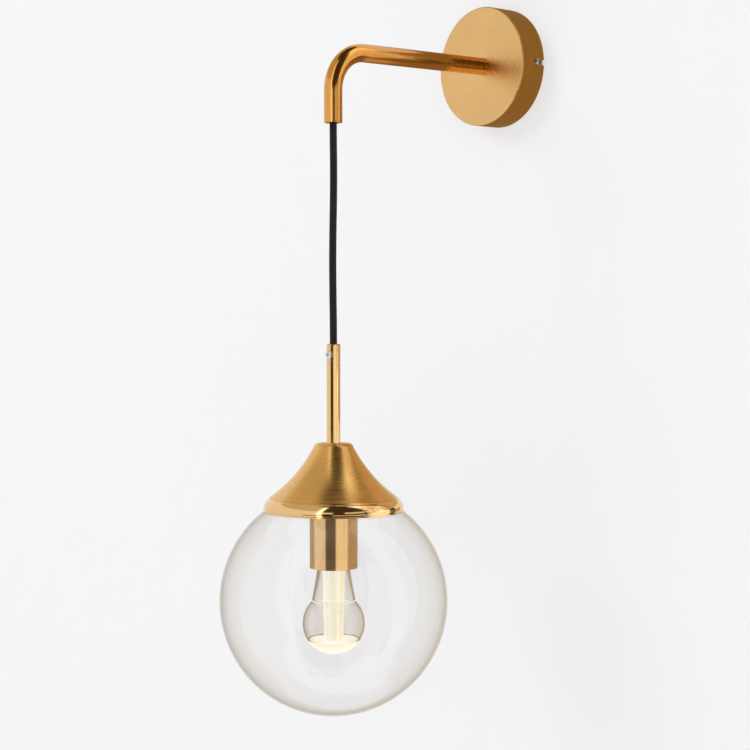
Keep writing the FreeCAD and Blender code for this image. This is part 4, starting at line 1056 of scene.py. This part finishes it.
class SCONCE_OT_sleeve(bpy.types.Operator):
    """Turn the polished sleeve round the lampholder"""
    bl_idname = "sconce.sleeve"
    bl_label = "Lampholder Sleeve"

    def execute(self, context):
        sizes = context.scene.sconce_sizes
        turned_piece(sizes, "lampholder_sleeve", cup_outline(sizes), "pendant", "polished_brass", "holder_cup",
                     made_of="sleeve_brass")
        return {"FINISHED"}


class SCONCE_OT_bulb(bpy.types.Operator):
    """Mould the bulb's clear neck and ball, its seam and its lit lens"""
    bl_idname = "sconce.bulb"
    bl_label = "Bulb"

    def execute(self, context):
        sizes = context.scene.sconce_sizes
        shapes = (
            ("clear_neck", bulb_neck_outline(sizes), "clear_plastic", "bulb_neck"),
            ("clear_ball", bulb_ball_outline(sizes), "clear_plastic", "bulb_ball"),
            ("joint_ring", seam_outline(sizes), "milky_plastic", "bulb_seam_ring"),
            ("lit_lens", bulb_lens_outline(), "glowing_lens", "bulb_lens"),
        )
        for name, outline, slot, solid in shapes:
            turned_piece(sizes, name, outline, "bulb", slot, solid)
        return {"FINISHED"}


class SCONCE_OT_stage(bpy.types.Operator):
    """Set the pale wall and floor, the soft light, the studio cards and the camera"""
    bl_idname = "sconce.stage"
    bl_label = "Stage"

    def execute(self, context):
        scene = context.scene
        wall_rgb = tuple(scene.sconce_colours.wall)
        paint = pale_wall(wall_rgb)
        wide, top, ground, room = 6.0, 4.0, -1.3, 5.0
        stage_object("wall", [(-wide, 0, ground), (wide, 0, ground), (wide, 0, top), (-wide, 0, top)],
                     [(0, 1, 2, 3)], paint)
        stage_object("floor", [(-wide, -room, ground), (wide, -room, ground), (wide, 0, ground),
                               (-wide, 0, ground)], [(0, 1, 2, 3)], paint)
        sleeve_z = (cup_low.z + cup_high.z) / 2
        dark = (0.06, 0.04, 0.018)
        wall_shade_brown = (0.62, 0.47, 0.3)
        studio_card("dark_room", (-17, 58), (-45, 90), 1.1, dark, in_glass=0.3)
        studio_card("overhead", (-180, 180), (76, 90), 1.0, dark, in_glass=0.3, steps=32)
        studio_card("ceiling_left", (-180, -27), (38, 76), 1.6, (0.62, 0.56, 0.45), steps=32)
        for name, azimuth, elevation, distance, rgb in (
                ("strip_left", (-26, -19), (-45, 70), 1.08, grey(2.4)),
                ("panel_right", (63, 95), (-25, 70), 1.08, grey(1.7)),
                ("edge_right", (97, 110), (-25, 60), 1.08, dark),
                ("arm_left", (-17, 0), (19, 30), 1.06, grey(0.9)),
                ("arm_right", (20, 58), (19, 30), 1.06, grey(0.8)),
                ("stem_dark", (-48, -2), (-3, 8), 1.05, dark),
                ("stem_cream", (0, 62), (-3, 8), 1.05, (1.15, 1.12, 1.05)),
                ("stem_copper", (64, 125), (-3, 8), 1.05, (0.55, 0.38, 0.25))):
            studio_card(name, azimuth, elevation, distance, rgb)
        # Cards that only rays mirrored by the sleeve inside the globe see, and more faintly the glass's inner
        # side: painted reflections on the sleeve.
        for name, azimuth, rgb in (
                ("sleeve_dark", (-38, 11), dark), ("sleeve_cream", (12, 67), (1.12, 1.05, 0.92)),
                ("sleeve_brown", (72, 180), (0.5, 0.38, 0.25)),
                ("sleeve_edge", (-180, -104), (0.45, 0.38, 0.28))):
            studio_card(name, azimuth, (-60, 35), 1.02, rgb, sleeve_z, steps=32, in_globe=True)
        # Dark cards on the wall by the canopy and beside and under the arm: painted shade of the wall, seen
        # only in the brass's reflections.
        wall_card("canopy_side", (-0.2, 0.2), (-0.16, 0.13), (0.30, 0.2, 0.085))
        wall_card("arm_side", (0.2, 0.6), (-0.3, 0.3), wall_shade_brown)
        wall_card("arm_under", (-0.3, 0.2), (-0.34, -0.16), wall_shade_brown)
        area_light("key", (-2.6, -4.2, 2.6), (0, -0.1, -0.2), 2.4, 100.0)
        area_light("fill", (4.0, -3.6, 0.6), (0, -0.2, -0.3), 3.0, 45.0)
        pale_world(scene, wall_rgb, ambient=0.62)
        lens = bpy.data.cameras.new("camera")
        lens.lens = CAMERA_LENS_MM
        lens.sensor_width = 36.0
        camera = placed("camera", lens)
        camera.location = (Vector((0, AXIS_Y, CAMERA_HEIGHT)) + TO_CAMERA * CAMERA_DISTANCE
                           + CAMERA_RIGHT * CAMERA_ASIDE)
        camera.rotation_euler = (math.pi / 2 + CAMERA_PITCH, 0.0, CAMERA_AZIMUTH)
        scene.camera = camera
        scene.view_settings.view_transform = "Standard"
        return {"FINISHED"}


STEPS = (SCONCE_OT_canopy_and_fittings, SCONCE_OT_arm, SCONCE_OT_cord, SCONCE_OT_shade_cap, SCONCE_OT_globe,
         SCONCE_OT_sleeve, SCONCE_OT_bulb, SCONCE_OT_stage)


class SCONCE_PT_panel(bpy.types.Panel):
    """Steps and settings of the wall sconce"""
    bl_idname = "SCONCE_PT_panel"
    bl_label = "Globe Wall Sconce"
    bl_space_type = "VIEW_3D"
    bl_region_type = "UI"
    bl_category = "Sconce"

    def draw(self, context):
        for step in STEPS:
            self.layout.operator(step.bl_idname)
        for settings in (context.scene.sconce_sizes, context.scene.sconce_colours):
            box = self.layout.box()
            for key in settings.bl_rna.properties.keys():
                if key not in ("rna_type", "name"):
                    box.prop(settings, key)


CLASSES = (SconceSizes, SconceColours, *STEPS, SCONCE_PT_panel)


def register():
    for item in CLASSES:
        bpy.utils.register_class(item)
    bpy.types.Scene.sconce_sizes = PointerProperty(type=SconceSizes)
    bpy.types.Scene.sconce_colours = PointerProperty(type=SconceColours)


def unregister():
    del bpy.types.Scene.sconce_colours
    del bpy.types.Scene.sconce_sizes
    for item in reversed(CLASSES):
        bpy.utils.unregister_class(item)


def main():
    register()
    bpy.ops.sconce.canopy_and_fittings()
    bpy.ops.sconce.arm()
    bpy.ops.sconce.cord()
    bpy.ops.sconce.shade_cap()
    bpy.ops.sconce.globe()
    bpy.ops.sconce.sleeve()
    bpy.ops.sconce.bulb()
    bpy.ops.sconce.stage()


if __name__ == "__main__":
    main()
